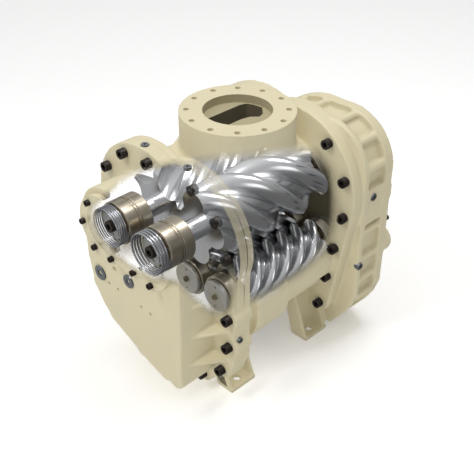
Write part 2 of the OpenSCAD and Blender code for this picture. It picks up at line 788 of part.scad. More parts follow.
// Grooved spacer ring between the two front rows of a stage-one bearing set
module row_spacer(c) {
  inner = s1_bearing_d / 2 - race(s1_bearing_d, s1_journal_d);
  t = row_gap - 2 * end_play;
  ring(c, row2_y - end_play - t, t, s1_bearing_d / 2 - spacer_groove, inner);
  ring(c, row2_y - row_gap / 2 - spacer_land / 2, spacer_land, s1_bearing_d / 2, inner);
}

spacer_groove = 2.5;
spacer_land = 5;

module stage1_front_outer_rings() color(ring_steel)
  for (c = [m1, f1]) {
    for (y = [row1_y, row2_y]) outer_ring(c, y, s1_row_w, s1_bearing_d, s1_journal_d);
    row_spacer(c);
  }

module stage1_rear_outer_rings() color(ring_steel)
  for (c = [m1, f1]) outer_ring(c, s1_rear_y, s1_row_w, s1_bearing_d, s1_journal_d);

module stage2_front_outer_rings() color(ring_steel)
  for (c = [m2, f2]) outer_ring(c, s2_front_y, s2_row_w, s2_bearing_d, s2_journal_d);

module stage2_rear_outer_rings() color(ring_steel)
  for (c = [m2, f2]) outer_ring(c, s2_rear_y, s2_row_w, s2_bearing_d, s2_journal_d);

module drive_outer_rings() color(ring_steel) {
  outer_ring(g, drive_in_y, drive_in_w, drive_in_d, spigot_d);
  outer_ring(g, drive_out_y, drive_out_w, drive_out_d, drive_d + 6);
}

// A coil spring along Y as one swept tube
module coil_spring(c, y0, length, od, wire, turns) {
  around = 20;
  sides = 6;
  r = od / 2 - wire / 2;
  steps = turns * around;
  rise = (length - wire) / turns;
  points = [for (i = [0 : steps], j = [0 : sides - 1])
    let (a = i * 360 / around, b = j * 360 / sides, q = r + wire / 2 * cos(b))
    [c[0] + q * cos(a), y0 + wire / 2 + rise * i / around + wire / 2 * sin(b), c[1] + q * sin(a)]];
  walls = [for (i = [0 : steps - 1], j = [0 : sides - 1])
    let (n = (j + 1) % sides)
    [i * sides + j, i * sides + n, (i + 1) * sides + n, (i + 1) * sides + j]];
  start = [for (j = [0 : sides - 1]) sides - 1 - j];
  end = [for (j = [0 : sides - 1]) steps * sides + j];
  polyhedron(points, concat([start, end], walls));
}

module left_preload_spring() color(steel)
  coil_spring(f1, nose_y - left_recess + end_play, row_depth + left_recess - 2 * end_play,
    spring_l_d, wire_l, turns_l);

module right_preload_spring() color(bright)
  coil_spring(m1, nose_y - right_recess + end_play, row_depth + right_recess - 2 * end_play,
    spring_r_d, wire_r, turns_r);

// Rotors
module male_profile(pitch, od) {
  circle(pitch - flank_gap, $fn = 24);
  for (k = [0 : male_lobes - 1]) rotate(k * 360 / male_lobes)
    translate([pitch, 0]) circle(od / 2 - pitch - flank_gap / 2, $fn = 18);
}

module female_profile(pitch, male_pitch, od) {
  difference() {
    circle(pitch, $fn = 36);
    for (k = [0 : female_grooves - 1]) rotate(k * 360 / female_grooves)
      translate([pitch, 0]) circle(od / 2 - male_pitch + flank_gap / 2, $fn = 18);
  }
}

// The lobed part: right-handed when hand is 1, left-handed when it is -1
module lobes(c, y0, length, lead, hand, slices) {
  translate([c[0], y0 + length, c[1]]) rotate([90, 0, 0])
    linear_extrude(length, twist = -hand * 360 * length / lead, slices = slices, $fn = 16)
      children();
}

module stage1_male_rotor() color(steel) {
  lobes(m1, -half + end_gap, s1_len, s1_lead, 1, 24) male_profile(s1_pitch_m, s1_male_d);
  bar(m1, s1_front_end, -half + end_gap - s1_front_end + 1, s1_journal_d / 2);
  bar(m1, half - end_gap - 1, gear_y + gear_w + 6 - half + end_gap + 1, s1_journal_d / 2);
}

module stage1_female_rotor() color(steel) {
  lobes(f1, -half + end_gap, s1_len, s1_lead * female_grooves / male_lobes, -1, 16)
    female_profile(s1_pitch_f, s1_pitch_m, s1_male_d);
  bar(f1, s1_front_end, -half + end_gap - s1_front_end + 1, s1_journal_d / 2);
  bar(f1, half - end_gap - 1, s1_rear_y + s1_row_w + 4 - half + end_gap + 1, s1_journal_d / 2);
}

module stage2_male_rotor() color(steel) {
  lobes(m2, -s2_front, s2_len, s2_lead, -1, 36) male_profile(s2_pitch_m, s2_male_d);
  bar(m2, s2_front_y - 2, -s2_front - s2_front_y + 3, s2_journal_d / 2);
  bar(m2, half - end_gap - 1, gear_y + gear_w + 6 - half + end_gap + 1, s2_journal_d / 2);
}

module stage2_female_rotor() color(steel) {
  lobes(f2, -s2_front, s2_len, s2_lead * female_grooves / male_lobes, 1, 24)
    female_profile(s2_pitch_f, s2_pitch_m, s2_male_d);
  bar(f2, s2_front_y - 2, -s2_front - s2_front_y + 3, s2_journal_d / 2);
  bar(f2, half - end_gap - 1, s2_rear_y + s2_row_w + 4 - half + end_gap + 1, s2_journal_d / 2);
}

module front_rollers1(c) {
  for (y = [row1_y, row2_y]) roller_row(c, y, s1_row_w, s1_bearing_d, s1_journal_d);
}

module stage1_male_front_rollers() color(ring_steel) front_rollers1(m1);
module stage1_female_front_rollers() color(ring_steel) front_rollers1(f1);

module stage1_male_rear_rollers() color(ring_steel)
  roller_row(m1, s1_rear_y, s1_row_w, s1_bearing_d, s1_journal_d);

module stage1_female_rear_rollers() color(ring_steel)
  roller_row(f1, s1_rear_y, s1_row_w, s1_bearing_d, s1_journal_d);

module stage2_male_front_rollers() color(ring_steel)
  roller_row(m2, s2_front_y, s2_row_w, s2_bearing_d, s2_journal_d);

module stage2_male_rear_rollers() color(ring_steel)
  roller_row(m2, s2_rear_y, s2_row_w, s2_bearing_d, s2_journal_d);

module stage2_female_front_rollers() color(ring_steel)
  roller_row(f2, s2_front_y, s2_row_w, s2_bearing_d, s2_journal_d);

module stage2_female_rear_rollers() color(ring_steel)
  roller_row(f2, s2_rear_y, s2_row_w, s2_bearing_d, s2_journal_d);

// Clamp plate on a shaft end, held by one socket screw
module end_plate(c, y_shaft, r, screw) {
  difference() {
    union() {
      bar(c, y_shaft - plate_t, plate_t, r);
      bar(c, y_shaft - plate_t - screw * 0.6, screw * 0.6, screw * 0.75);
    }
    section(y_shaft - plate_t - screw * 0.6, screw * 0.45) translate(c)
      circle(r = screw * 0.44, $fn = 6);
    for (s = [-1, 1]) bar(c + [0, s * r * 0.68], y_shaft - plate_t - 1, 7, 4);
  }
}

module stage1_male_end_plate() color(steel) end_plate(m1, s1_front_end, s1_plate_r, 24);
module stage1_female_end_plate() color(steel) end_plate(f1, s1_front_end, s1_plate_r, 24);
module stage2_male_end_plate() color(steel) end_plate(m2, s2_front_y - 2, s2_plate_r, 12);
module stage2_female_end_plate() color(steel) end_plate(f2, s2_front_y - 2, s2_plate_r, 12);

// Gears: the involute flank at radius r, as a half angle of the tooth
function inv(a) = tan(a) * 180 / PI - a;
function flank(z, r) = 90 / z - 1.3 / z + inv(20)
  - inv(acos(min(1, gear_module * z / 2 * cos(20) / r)));

module gear_profile(z) {
  root = gear_module * (z / 2 - 1.25);
  tip = gear_module * (z / 2 + 1);
  base = max(root + 0.5, gear_module * z / 2 * cos(20));
  up = [root, base, (base + tip) / 2, tip];
  polygon([for (k = [0 : z - 1], side = [-1, 1], i = [0 : 3])
    let (r = side < 0 ? up[i] : up[3 - i], a = k * 360 / z + side * flank(z, max(r, base)))
    r * [cos(a), sin(a)]]);
}

// Angles that bring the teeth into mesh: a drive tooth points at the stage-one shaft
line1 = atan2(m1[1] - g[1], m1[0] - g[0]);
line2 = atan2(m2[1] - g[1], m2[0] - g[0]);
tooth = 360 / drive_teeth;
past2 = line2 - line1 - tooth * floor((line2 - line1) / tooth);
turn1 = line1 + 180 + 180 / pinion1_teeth;
turn2 = line2 + 180 + past2 * drive_teeth / pinion2_teeth + 180 / pinion2_teeth;

module gear(c, z, turn, bore_d) {
  section(gear_y, gear_w) translate(c) difference() {
    rotate(turn) gear_profile(z);
    circle(bore_d / 2 + seat_gap);
  }
}

module stage1_pinion() color(steel) gear(m1, pinion1_teeth, turn1, s1_journal_d);
module stage2_pinion() color(steel) gear(m2, pinion2_teeth, turn2, s2_journal_d);

module drive_gear() color(steel) difference() {
  gear(g, drive_teeth, line1, drive_d + 13);
  for (k = [0 : 5]) bar(g + 105 * [cos(k * 60), sin(k * 60)], gear_y - 1, gear_w + 2, 24);
}

module drive_shaft() color(bright) difference() {
  union() {
    bar(g, drive_in_y + 1, gear_y - drive_in_y - 1, spigot_d / 2);
    bar(g, gear_y, gear_w, drive_d / 2 + 6.5);
    bar(g, gear_y + gear_w, drive_out_y + drive_out_w + 1 - gear_y - gear_w, drive_d / 2 + 3);
    bar(g, drive_out_y + drive_out_w, rear_y + hub_t - drive_out_y - drive_out_w, seal_r);
    bar(g, rear_y + hub_t - 1, drive_len + 1, drive_d / 2);
  }
  // Keyway for the key of the coupling
  translate([g[0], rear_y + hub_t + 20, g[1]]) rotate([0, key_angle, 0])
    translate([-key_w / 2, 0, drive_d / 2 - key_depth])
      cube([key_w, drive_len - 30, key_depth + 3]);
}

key_w = 18;
key_depth = 7;
key_angle = 22.5;

module drive_inner_rollers() color(ring_steel)
  roller_row(g, drive_in_y, drive_in_w, drive_in_d, spigot_d);

module drive_outer_rollers() color(ring_steel)
  roller_row(g, drive_out_y, drive_out_w, drive_out_d, drive_d + 6);

rotor_housing();
housing_front_flange();
housing_rear_flange();
front_feet();
rear_feet();
discharge_branch();
branch_cap_screws();
discharge_housing();
bearing_cover();
gear_case();
rear_cover();
front_cap_screws();
rear_cap_screws();
cover_cap_screws();
rear_cover_screws();
dowel_pins();
casing_plugs();
oil_plugs();
shaft_seal();
stage1_front_outer_rings();
stage1_rear_outer_rings();
stage2_front_outer_rings();
stage2_rear_outer_rings();
drive_outer_rings();
left_preload_spring();
right_preload_spring();
stage1_male_rotor();
stage1_male_front_rollers();
stage1_male_rear_rollers();
stage1_male_end_plate();
stage1_pinion();
stage1_female_rotor();
stage1_female_front_rollers();
stage1_female_rear_rollers();
stage1_female_end_plate();
stage2_male_rotor();
stage2_male_front_rollers();
stage2_male_rear_rollers();
stage2_male_end_plate();
stage2_pinion();
stage2_female_rotor();
stage2_female_front_rollers();
stage2_female_rear_rollers();
stage2_female_end_plate();
drive_shaft();
drive_gear();
drive_inner_rollers();
drive_outer_rollers();
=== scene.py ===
import math

import bmesh
import bpy
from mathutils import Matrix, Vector


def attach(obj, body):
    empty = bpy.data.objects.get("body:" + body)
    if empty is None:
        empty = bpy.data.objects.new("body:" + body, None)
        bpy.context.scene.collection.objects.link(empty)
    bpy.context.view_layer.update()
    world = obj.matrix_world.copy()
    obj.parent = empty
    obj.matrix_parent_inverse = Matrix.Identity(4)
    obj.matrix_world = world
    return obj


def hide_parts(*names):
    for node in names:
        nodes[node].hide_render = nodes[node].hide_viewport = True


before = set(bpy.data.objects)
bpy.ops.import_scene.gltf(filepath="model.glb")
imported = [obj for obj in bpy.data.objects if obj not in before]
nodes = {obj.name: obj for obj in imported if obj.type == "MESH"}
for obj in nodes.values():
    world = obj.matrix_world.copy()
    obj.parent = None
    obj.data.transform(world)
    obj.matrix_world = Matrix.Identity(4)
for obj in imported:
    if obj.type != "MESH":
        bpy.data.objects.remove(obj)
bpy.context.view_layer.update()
mm = 0.001

# The viewpoint: a short telephoto lens, a little above the machine and off its front right
# corner, two and a half metres away.
azimuth = math.radians(45.302)
elevation = math.radians(34.196)
towards_eye = Vector((math.sin(azimuth) * math.cos(elevation),
                      -math.cos(azimuth) * math.cos(elevation), math.sin(elevation)))
eye = Vector((1.5442, -1.4977, 1.8211))
eye_right = Vector((math.cos(azimuth), math.sin(azimuth), 0))
eye_up = towards_eye.cross(eye_right)
picture = 474
picture_reach = 833.638

lens = bpy.data.cameras.new("viewpoint")
lens.sensor_width = 36
lens.lens = 36 * picture_reach / picture
lens.clip_end = 60
camera = bpy.data.objects.new("viewpoint", lens)
camera.location = eye
camera.rotation_euler = (-towards_eye).to_track_quat("-Z", "Y").to_euler()
bpy.context.collection.objects.link(camera)
bpy.context.scene.camera = camera


# Casings: grey iron sand castings, machined on the joint faces, bores and tapped holes, and
# sprayed with beige machinery enamel. The paint fades to clear over the rotors and bearings, as
# a demonstration model shows them.
front_joint, rear_joint = -220 * mm, 220 * mm
nose_face, cover_face = -389 * mm, -409 * mm
case_joint, rear_face = 335 * mm, 380 * mm
male_1, female_1 = (88 * mm, 535 * mm), (-88 * mm, 535 * mm)
male_2, female_2 = (142 * mm, 313 * mm), (18 * mm, 313 * mm)
drive = (-77.7304 * mm, 361.4102 * mm)
inlet_y, inlet_top = 33 * mm, 785 * mm
casting_grain = 4 * mm


def linear(hex_colour):
    """An sRGB hex colour as linear RGBA."""
    parts = [int(hex_colour[i:i + 2], 16) / 255 for i in (1, 3, 5)]
    return [c / 12.92 if c <= 0.04045 else ((c + 0.055) / 1.055) ** 2.4 for c in parts] + [1]


def add(tree, kind, settings=None, **links):
    """Adds one node, sets its properties and links or fills its inputs by name or number."""
    node = tree.nodes.new(kind)
    for name, value in (settings or {}).items():
        setattr(node, name, value)
    for name, value in links.items():
        key = int(name[1:]) if name[0] == "_" and name[1:].isdigit() else name.replace("_", " ")
        socket = node.inputs[key]
        if isinstance(value, bpy.types.NodeSocket):
            tree.links.new(value, socket)
        else:
            socket.default_value = value
    return node


def clouded(tree, place, low, high, scale, detail):
    """Two close colours mixed in soft clouds, and the clouds by themselves."""
    clouds = add(tree, "ShaderNodeTexNoise", Vector=place, Scale=scale,
                 Detail=detail).outputs["Fac"]
    mix = add(tree, "ShaderNodeMix", {"data_type": "RGBA"}, Factor=clouds)
    mix.inputs["A"].default_value = linear(low)
    mix.inputs["B"].default_value = linear(high)
    return mix.outputs["Result"], clouds


def finish_named(name):
    """A new node material with its shader, and the tree to add to."""
    material = bpy.data.materials.new(name)
    material.use_nodes = True
    tree = material.node_tree
    tree.nodes.clear()
    shader = tree.nodes.new("ShaderNodeBsdfPrincipled")
    out = tree.nodes.new("ShaderNodeOutputMaterial")
    tree.links.new(shader.outputs[0], out.inputs[0])
    return material, tree, shader


# Clear windows in the paint as corners (across, down), clockwise, and how soft each edge is
windows = [
    ([(91, 209), (126, 176), (145, 168), (178, 160), (205, 190), (226, 240), (224, 275),
      (185, 284), (154, 281), (133, 270), (108, 250), (93, 228)], 6),
    ([(178, 255), (210, 240), (226, 246), (233, 270), (235, 300), (230, 313), (212, 314),
      (192, 300), (176, 280)], 6),
    ([(172, 162), (230, 156), (290, 149), (318, 150), (332, 166), (337, 195), (336, 220),
      (327, 246), (308, 268), (284, 286), (263, 299), (245, 301)], 8),
]
corner_round = 8


def window_edges(corners):
    """The straight edges of a window, each as the way out of it and how far off it lies."""
    edges = []
    for (x0, y0), (x1, y1) in zip(corners, corners[1:] + corners[:1]):
        size = math.hypot(x1 - x0, y1 - y0)
        across, down = (y1 - y0) / size, (x0 - x1) / size
        edges.append(Vector((across, down,
                             across * (picture / 2 - x0) + down * (picture / 2 - y0))))
    return edges


def paint_left(place):
    """How solid the paint is at a place, from 0 in the clear windows to 1 outside them."""
    ray = place - eye
    reach = -picture_reach / ray.dot(towards_eye)
    point = Vector((ray.dot(eye_right) * reach, -ray.dot(eye_up) * reach, 1))
    solid = 1
    for corners, soft in windows:
        out = -picture
        for edge in window_edges(corners):
            off = edge.dot(point)
            near = max(corner_round - abs(out - off), 0) / corner_round
            out = max(out, off) + near ** 3 * corner_round / 6
            if out > soft:
                break
        t = min(max((out + soft) / (2 * soft), 0), 1)
        solid *= t * t * (3 - 2 * t)
    return solid


def clear_windows(tree):
    """The same as nodes. The windows are cones from one fixed point beside the machine, so they
    stay in place on the casing."""
    place = add(tree, "ShaderNodeTexCoord").outputs["Object"]
    ray = add(tree, "ShaderNodeVectorMath", {"operation": "SUBTRACT"}, _0=place, _1=eye).outputs[0]
    depth = add(tree, "ShaderNodeVectorMath", {"operation": "DOT_PRODUCT"},
                _0=ray, _1=-towards_eye).outputs["Value"]
    across = add(tree, "ShaderNodeVectorMath", {"operation": "DOT_PRODUCT"},
                 _0=ray, _1=eye_right * picture_reach).outputs["Value"]
    down = add(tree, "ShaderNodeVectorMath", {"operation": "DOT_PRODUCT"},
               _0=ray, _1=eye_up * -picture_reach).outputs["Value"]
    across = add(tree, "ShaderNodeMath", {"operation": "DIVIDE"}, _0=across, _1=depth).outputs[0]
    down = add(tree, "ShaderNodeMath", {"operation": "DIVIDE"}, _0=down, _1=depth).outputs[0]
    point = add(tree, "ShaderNodeCombineXYZ", _0=across, _1=down, _2=1).outputs[0]
    solid = None
    for corners, soft in windows:
        out = None
        for edge in window_edges(corners):
            off = add(tree, "ShaderNodeVectorMath", {"operation": "DOT_PRODUCT"},
                      _0=point, _1=edge).outputs["Value"]
            out = off if out is None else add(
                tree, "ShaderNodeMath", {"operation": "SMOOTH_MAX"}, _0=out, _1=off,
                _2=corner_round).outputs[0]
        fade = add(tree, "ShaderNodeMapRange", {"interpolation_type": "SMOOTHSTEP"},
                   Value=out, From_Min=-soft, From_Max=soft).outputs[0]
        solid = fade if solid is None else add(
            tree, "ShaderNodeMath", {"operation": "MULTIPLY"}, _0=solid, _1=fade).outputs[0]
    return solid


def cast_finish(name, low, high, reach, darkest, rough, fades):
    """Colour clouds over the grain of a sand casting, with painted shade: ambient occlusion darkens
    the colour in its hollows, down to darkest.
    """
    material, tree, shader = finish_named(name)
    place = add(tree, "ShaderNodeTexCoord").outputs["Object"]
    shade = clouded(tree, place, low, high, 9, 3)[0]
    # Painted shade: the base colour is multiplied darker where ambient occlusion within reach finds
    # hollows, corners and creases
    hollow = add(tree, "ShaderNodeAmbientOcclusion", {"samples": 4}, Distance=reach)
    painted_shade = add(tree, "ShaderNodeMix", {"data_type": "RGBA", "blend_type": "MULTIPLY"}, Factor=1)
    tree.links.new(shade, painted_shade.inputs["A"])
    shade_factor = add(tree, "ShaderNodeMapRange", Value=hollow.outputs["AO"], From_Min=0.2,
                From_Max=0.85, To_Min=darkest, To_Max=1).outputs[0]
    tree.links.new(shade_factor, painted_shade.inputs["B"])
    tree.links.new(painted_shade.outputs["Result"], shader.inputs["Base Color"])
    grain = add(tree, "ShaderNodeTexNoise", Vector=place, Scale=1 / (3 * mm), Detail=3,
                Roughness=0.6).outputs["Fac"]
    gloss = add(tree, "ShaderNodeMapRange", Value=grain, To_Min=rough,
                To_Max=rough + 0.15).outputs[0]
    tree.links.new(gloss, shader.inputs["Roughness"])
    round_edge = add(tree, "ShaderNodeBevel", {"samples": 4}, Radius=2 * mm).outputs[0]
    bump = add(tree, "ShaderNodeBump", Strength=0.12, Distance=0.3 * mm, Height=grain,
               Normal=round_edge).outputs[0]
    tree.links.new(bump, shader.inputs["Normal"])
    shader.inputs["IOR"].default_value = 1.5
    if fades:
        solid = clear_windows(tree)
        hidden = add(tree, "ShaderNodeMapRange", {"interpolation_type": "SMOOTHSTEP"},
                     Value=solid, From_Min=0.93, From_Max=1).outputs[0]
        front = add(tree, "ShaderNodeAttribute", {"attribute_name": "front"}).outputs["Fac"]
        rim = add(tree, "ShaderNodeAttribute", {"attribute_name": "rim"}).outputs["Fac"]
        see = add(tree, "ShaderNodeMix", {"data_type": "FLOAT"}, Factor=front, A=hidden, B=solid)
        see = add(tree, "ShaderNodeMath", {"operation": "MAXIMUM"}, _0=see.outputs["Result"],
                  _1=rim).outputs[0]
        tree.links.new(see, shader.inputs["Alpha"])
    return material


# Sprayed alkyd enamel: satin beige with a fine orange peel. Bores are left as machined: dull
# olive-grey iron, and the port walls are raw cast iron. All are darkened by painted shade in their
# hollows, the bores and port over a longer reach, and the port walls get a near-black colour as
# painted shade down the port.
enamel = cast_finish("machinery_enamel", "#cfc6a6", "#d8ceac", 30 * mm, 0.8, 0.4, False)
clear_enamel = cast_finish("machinery_enamel_clearing", "#cfc6a6", "#d8ceac", 30 * mm, 0.8, 0.4,
                           True)
bare_iron = cast_finish("machined_iron", "#9f9676", "#aca281", 160 * mm, 0.5, 0.5, True)
# Painted shade: the port walls get a near-black iron colour for the shade down the deep port
port_iron_painted_shade = cast_finish("port_iron_painted_shade", "#4e4733", "#5c543d", 160 * mm, 0.35, 0.5, True)


def finished(material, *names):
    """Gives CAD nodes that are shown as they are their finish."""
    for name in names:
        nodes[name].data.materials.clear()
        nodes[name].data.materials.append(material)


def smoothed(made, angle):
    """Shades a mesh smooth, but for edges that turn by more than angle."""
    made.data.shade_smooth()
    made.data.set_sharp_from_angle(angle=math.radians(angle))


def object_of(name, verts, faces):
    """A mesh object in the machine's frame."""
    mesh = bpy.data.meshes.new(name)
    mesh.from_pydata(verts, [], faces)
    mesh.update()
    made = bpy.data.objects.new(name, mesh)
    bpy.context.collection.objects.link(made)
    return made


def prism(outline, y0, y1):
    """A closed solid from an outline in X and Z, along Y from y0 to y1."""
    n = len(outline)
    turn = sum(a[0] * b[1] - b[0] * a[1] for a, b in zip(outline, outline[1:] + outline[:1]))
    if turn > 0:
        outline = outline[::-1]
    verts = [(x, y0, z) for x, z in outline] + [(x, y1, z) for x, z in outline]
    faces = [list(range(n))[::-1], list(range(n, 2 * n))]
    faces += [[i, (i + 1) % n, n + (i + 1) % n, n + i] for i in range(n)]
    return verts, faces


def disc(centre, radius, steps=96):
    """A circle as an outline in X and Z."""
    return [(centre[0] + radius * math.cos(2 * math.pi * k / steps),
             centre[1] + radius * math.sin(2 * math.pi * k / steps)) for k in range(steps)]


def along(solid, axis):
    """Lays a prism along X or Z, its outline then in Y and Z or in X and Y."""
    verts, faces = solid
    if axis == "z":
        return [(x, z, y) for x, y, z in verts], [f[::-1] for f in faces]
    return [(y, x, z) for x, y, z in verts], [f[::-1] for f in faces]


def gathered(name, solids):
    """Several solids as one mesh object."""
    verts, faces = [], []
    for v, f in solids:
        faces += [[i + len(verts) for i in face] for face in f]
        verts += v
    return object_of(name, verts, faces)


def applied(target, kind, **settings):
    """Adds a modifier to target and applies it."""
    modifier = target.modifiers.new(kind, kind)
    for name, value in settings.items():
        setattr(modifier, name, value)
    shape = bpy.data.meshes.new_from_object(
        target.evaluated_get(bpy.context.evaluated_depsgraph_get()))
    target.modifiers.clear()
    target.data = shape


def machined(target, tool, operation="DIFFERENCE"):
    """Cuts target with a tool solid, as a machining step does, and puts the tool away."""
    applied(target, "BOOLEAN", object=tool, operation=operation, solver="MANIFOLD")
    bpy.data.objects.remove(tool)


# The rough casting: the castings as one pattern with their openings filled, rounded by the sand
# mould. Planes, bores and holes are machined into it afterwards.
inlet = (0, inlet_y)
inlet_od, inlet_bore, inlet_pcd, inlet_tap = 340 * mm, 203 * mm, 295 * mm, 17.5 * mm
outlet = (60 * mm, 300 * mm)
boss_r, boss_face = 86 * mm, -150 * mm
allowance = 12 * mm


def places(name):
    """[x, z, lowest y, highest y, radius] of each separate solid in a CAD node."""
    shape = nodes[name].data
    key = [tuple(round(c, 5) for c in v.co) for v in shape.vertices]
    root = {k: k for k in key}

    def top(k):
        while root[k] != k:
            root[k] = root[root[k]]
            k = root[k]
        return k

    for edge in shape.edges:
        a, b = (top(key[i]) for i in edge.vertices)
        root[a] = b
    groups = {}
    for k in root:
        groups.setdefault(top(k), []).append(k)
    found = []
    for points in groups.values():
        lo, hi = ([f(p[i] for p in points) for i in range(3)] for f in (min, max))
        found.append([(lo[0] + hi[0]) / 2, (lo[2] + hi[2]) / 2, lo[1], hi[1], (hi[0] - lo[0]) / 2])
    return sorted(found)


def stoppers(name, y0, y1):
    """Plugs that close the holes of a group of screws, from y0 to y1."""
    return [prism(disc((x, z), radius * 0.85, 24), y0 * mm, y1 * mm)
            for x, z, low, high, radius in places(name)]


def rough_casting(name, parts, fill, grain):
    """Joins CAD nodes and fillers to one form and rounds its edges as sand does."""
    made = gathered(name, fill)
    joined = bmesh.new()
    joined.from_mesh(made.data)
    for part in parts:
        joined.from_mesh(nodes[part].data)
    joined.to_mesh(made.data)
    joined.free()
    applied(made, "REMESH", mode="VOXEL", voxel_size=grain, use_smooth_shade=True)
    applied(made, "SMOOTH", factor=0.5, iterations=6)
    return made


pattern = rough_casting(
    "rough_casting",
    ["rotor_housing", "housing_front_flange", "housing_rear_flange", "front_feet", "rear_feet",
     "discharge_housing", "gear_case", "rear_cover"],
    [along(prism(disc(inlet, inlet_od / 2, 160), 690 * mm, inlet_top + allowance), "z"),
     along(prism(disc(outlet, boss_r), boss_face - allowance, boss_face + 10 * mm), "x"),
     prism(disc(male_1, 100 * mm), nose_face, nose_face + 12 * mm),
     prism(disc(female_1, 100 * mm), nose_face, nose_face + 12 * mm),
     prism(disc(drive, 85 * mm), rear_face - 20 * mm, rear_face + 14 * mm + allowance)]
    + stoppers("front_cap_screws", -259, -194) + stoppers("rear_cap_screws", 185, 243)
    + stoppers("cover_cap_screws", -388, -364) + stoppers("rear_cover_screws", 337, 359)
    + stoppers("oil_plugs", -388.5, -370), casting_grain)


def slab(y0, y1):
    """Everything between two planes across the machine, above the base plane."""
    return prism([(-0.6, 0), (0.6, 0), (0.6, 1), (-0.6, 1)], y0, y1)


flange_faces = (-247 * mm, -193 * mm)
veil_top, veil_fall, veil_least = 0.66, 0.3, 0.35
hidden_from = 0.93


def faded(made, keep_from=1.0):
    """Notes on each point how its paint fades, and takes away what is clear in any case. The
    front flange keeps a veil of paint on its rim, and nothing fades behind keep_from."""
    front = made.data.attributes.new("front", "FLOAT", "POINT")
    rim = made.data.attributes.new("rim", "FLOAT", "POINT")
    clear = []
    for vertex in made.data.vertices:
        y, turn = vertex.co.y, vertex.normal
        shown = turn.dot(towards_eye) > 0.02 or y > keep_from
        veil = 0
        if flange_faces[0] < y < flange_faces[1] and abs(turn.y) < 0.6 and shown:
            low = min(max((veil_top - vertex.co.z) / veil_fall, 0), 1)
            veil = veil_least + (1 - veil_least) * low
        veil = 1 if y > keep_from else veil
        front.data[vertex.index].value = 1 if shown else 0
        rim.data[vertex.index].value = veil
        clear.append(veil == 0 and paint_left(vertex.co) < (0.001 if shown else hidden_from))
    skin = bmesh.new()
    skin.from_mesh(made.data)
    bmesh.ops.delete(skin, context="FACES",
                     geom=[f for f in skin.faces if all(clear[v.index] for v in f.verts)])
    skin.to_mesh(made.data)
    skin.free()


def casting(name, rough, y0, y1, cavities, in_bore, keep_from=1.0):
    """One machined casting out of the rough one, between its joint faces. Faces whose corners
    all lie in_bore stay bare: 1 in a bore, 2 on the walls of a port, which carry the port's painted
    shade."""
    made = bpy.data.objects.new(name, rough.data.copy())
    bpy.context.collection.objects.link(made)
    machined(made, gathered("slab", [slab(y0, y1)]), "INTERSECT")
    for group in cavities:
        machined(made, gathered("cutter", group))
    smoothed(made, 32)
    faded(made, keep_from)
    made.data.materials.clear()
    made.data.materials.append(clear_enamel)
    made.data.materials.append(bare_iron)
    made.data.materials.append(port_iron_painted_shade)
    bare = [int(in_bore(vertex.co)) for vertex in made.data.vertices]
    for polygon in made.data.polygons:
        # Side walls of the port take finish 2, its dark colour painted as shade; faces that look up
        # or down keep finish 1
        most = 1 if abs(polygon.normal.z) > 0.5 else 2
        polygon.material_index = min(most, *(bare[i] for i in polygon.vertices))
    made.visible_shadow = keep_from < 1
    made.visible_glossy = False
    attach(made, "housing")
    return made


def ring_of(centre, radius, count, first, hole, y0, y1, axis="y"):
    """Equal holes on a bolt circle."""
    holes = []
    for k in range(count):
        a = math.radians(first + 360 * k / count)
        c = (centre[0] + radius * math.cos(a), centre[1] + radius * math.sin(a))
        bar = prism(disc(c, hole / 2, 32), y0, y1)
        holes.append(bar if axis == "y" else along(bar, axis))
    return holes


# Rotor housing: one iron casting with both rotor bores, the inlet neck with its tapped flange,
# the boss for the discharge branch, the two joint flanges and the four feet
port = [(x * mm, inlet_y + y * mm) for x, y in (
    (-55, -80), (-55, 64), (-48, 84), (-26, 94), (4, 97), (34, 70), (40, 48), (22, 29), (15, 0),
    (15, -80))]
ledge = inlet_top - 26 * mm
seat_1, seat_2 = 65.05 * mm, 59.05 * mm
shaft_hole_1, shaft_hole_2 = 33 * mm, 25 * mm
stage_2_wall = -143 * mm
rotor_bores = [(male_1, 114 * mm, -0.25), (female_1, 106.6 * mm, -0.25),
               (male_2, 78.5 * mm, stage_2_wall), (female_2, 75.4 * mm, stage_2_wall)]
cut_slack = 0.3 * mm


def off_axis(place, centre):
    """How far a place is from a shaft."""
    return math.hypot(place.x - centre[0], place.z - centre[1])


def in_seats(place, seat, *centres):
    """In the bearing seats about these shafts."""
    return any(off_axis(place, c) < seat + 0.25 * mm for c in centres)


def in_housing_bore(place):
    """In the rotor bores, the inlet bore or the port below it."""
    below_inlet = math.hypot(place.x, place.y - inlet_y) < inlet_bore / 2 + cut_slack
    if place.z > ledge + 0.5 * mm:
        return below_inlet
    # Port walls below the ledge get finish 2, painted dark as the shade down the port
    if place.z > 600 * mm and below_inlet:
        return 2
    return any(off_axis(place, c) < r + cut_slack for c, r, start in rotor_bores)


rotor_housing = casting("rotor_housing_casting", pattern, front_joint, rear_joint, [
    *([prism(disc(c, r), start, 0.25)] for c, r, start in rotor_bores),
    [prism(disc(c, seat_2), -0.25, -152 * mm) for c in (male_2, female_2)],
    [along(prism([(-0.5, -0.5), (0.5, -0.5), (0.5, 0.5), (-0.5, 0.5)], inlet_top, 0.9), "z")],
    [along(prism(disc(inlet, inlet_bore / 2), ledge, 0.9), "z")],
    [along(prism(port, 555 * mm, ledge + 1 * mm), "z")],
    ring_of(inlet, inlet_pcd / 2, 12, 15, inlet_tap, inlet_top - 40 * mm, 0.8, "z"),
    [along(prism(disc(outlet, boss_r + 9 * mm), -0.4, boss_face), "x")],
    [along(prism(disc(outlet, 44 * mm), -0.4, -27 * mm), "x")],
    [along(prism(disc((sx * 199 * mm, sy * 168.5 * mm), 11 * mm, 32), -0.02, 0.014), "z")
     for sx in (-1, 1) for sy in (-1, 1)],
], in_housing_bore)
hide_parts("rotor_housing", "housing_front_flange", "housing_rear_flange",
            "front_feet", "rear_feet")

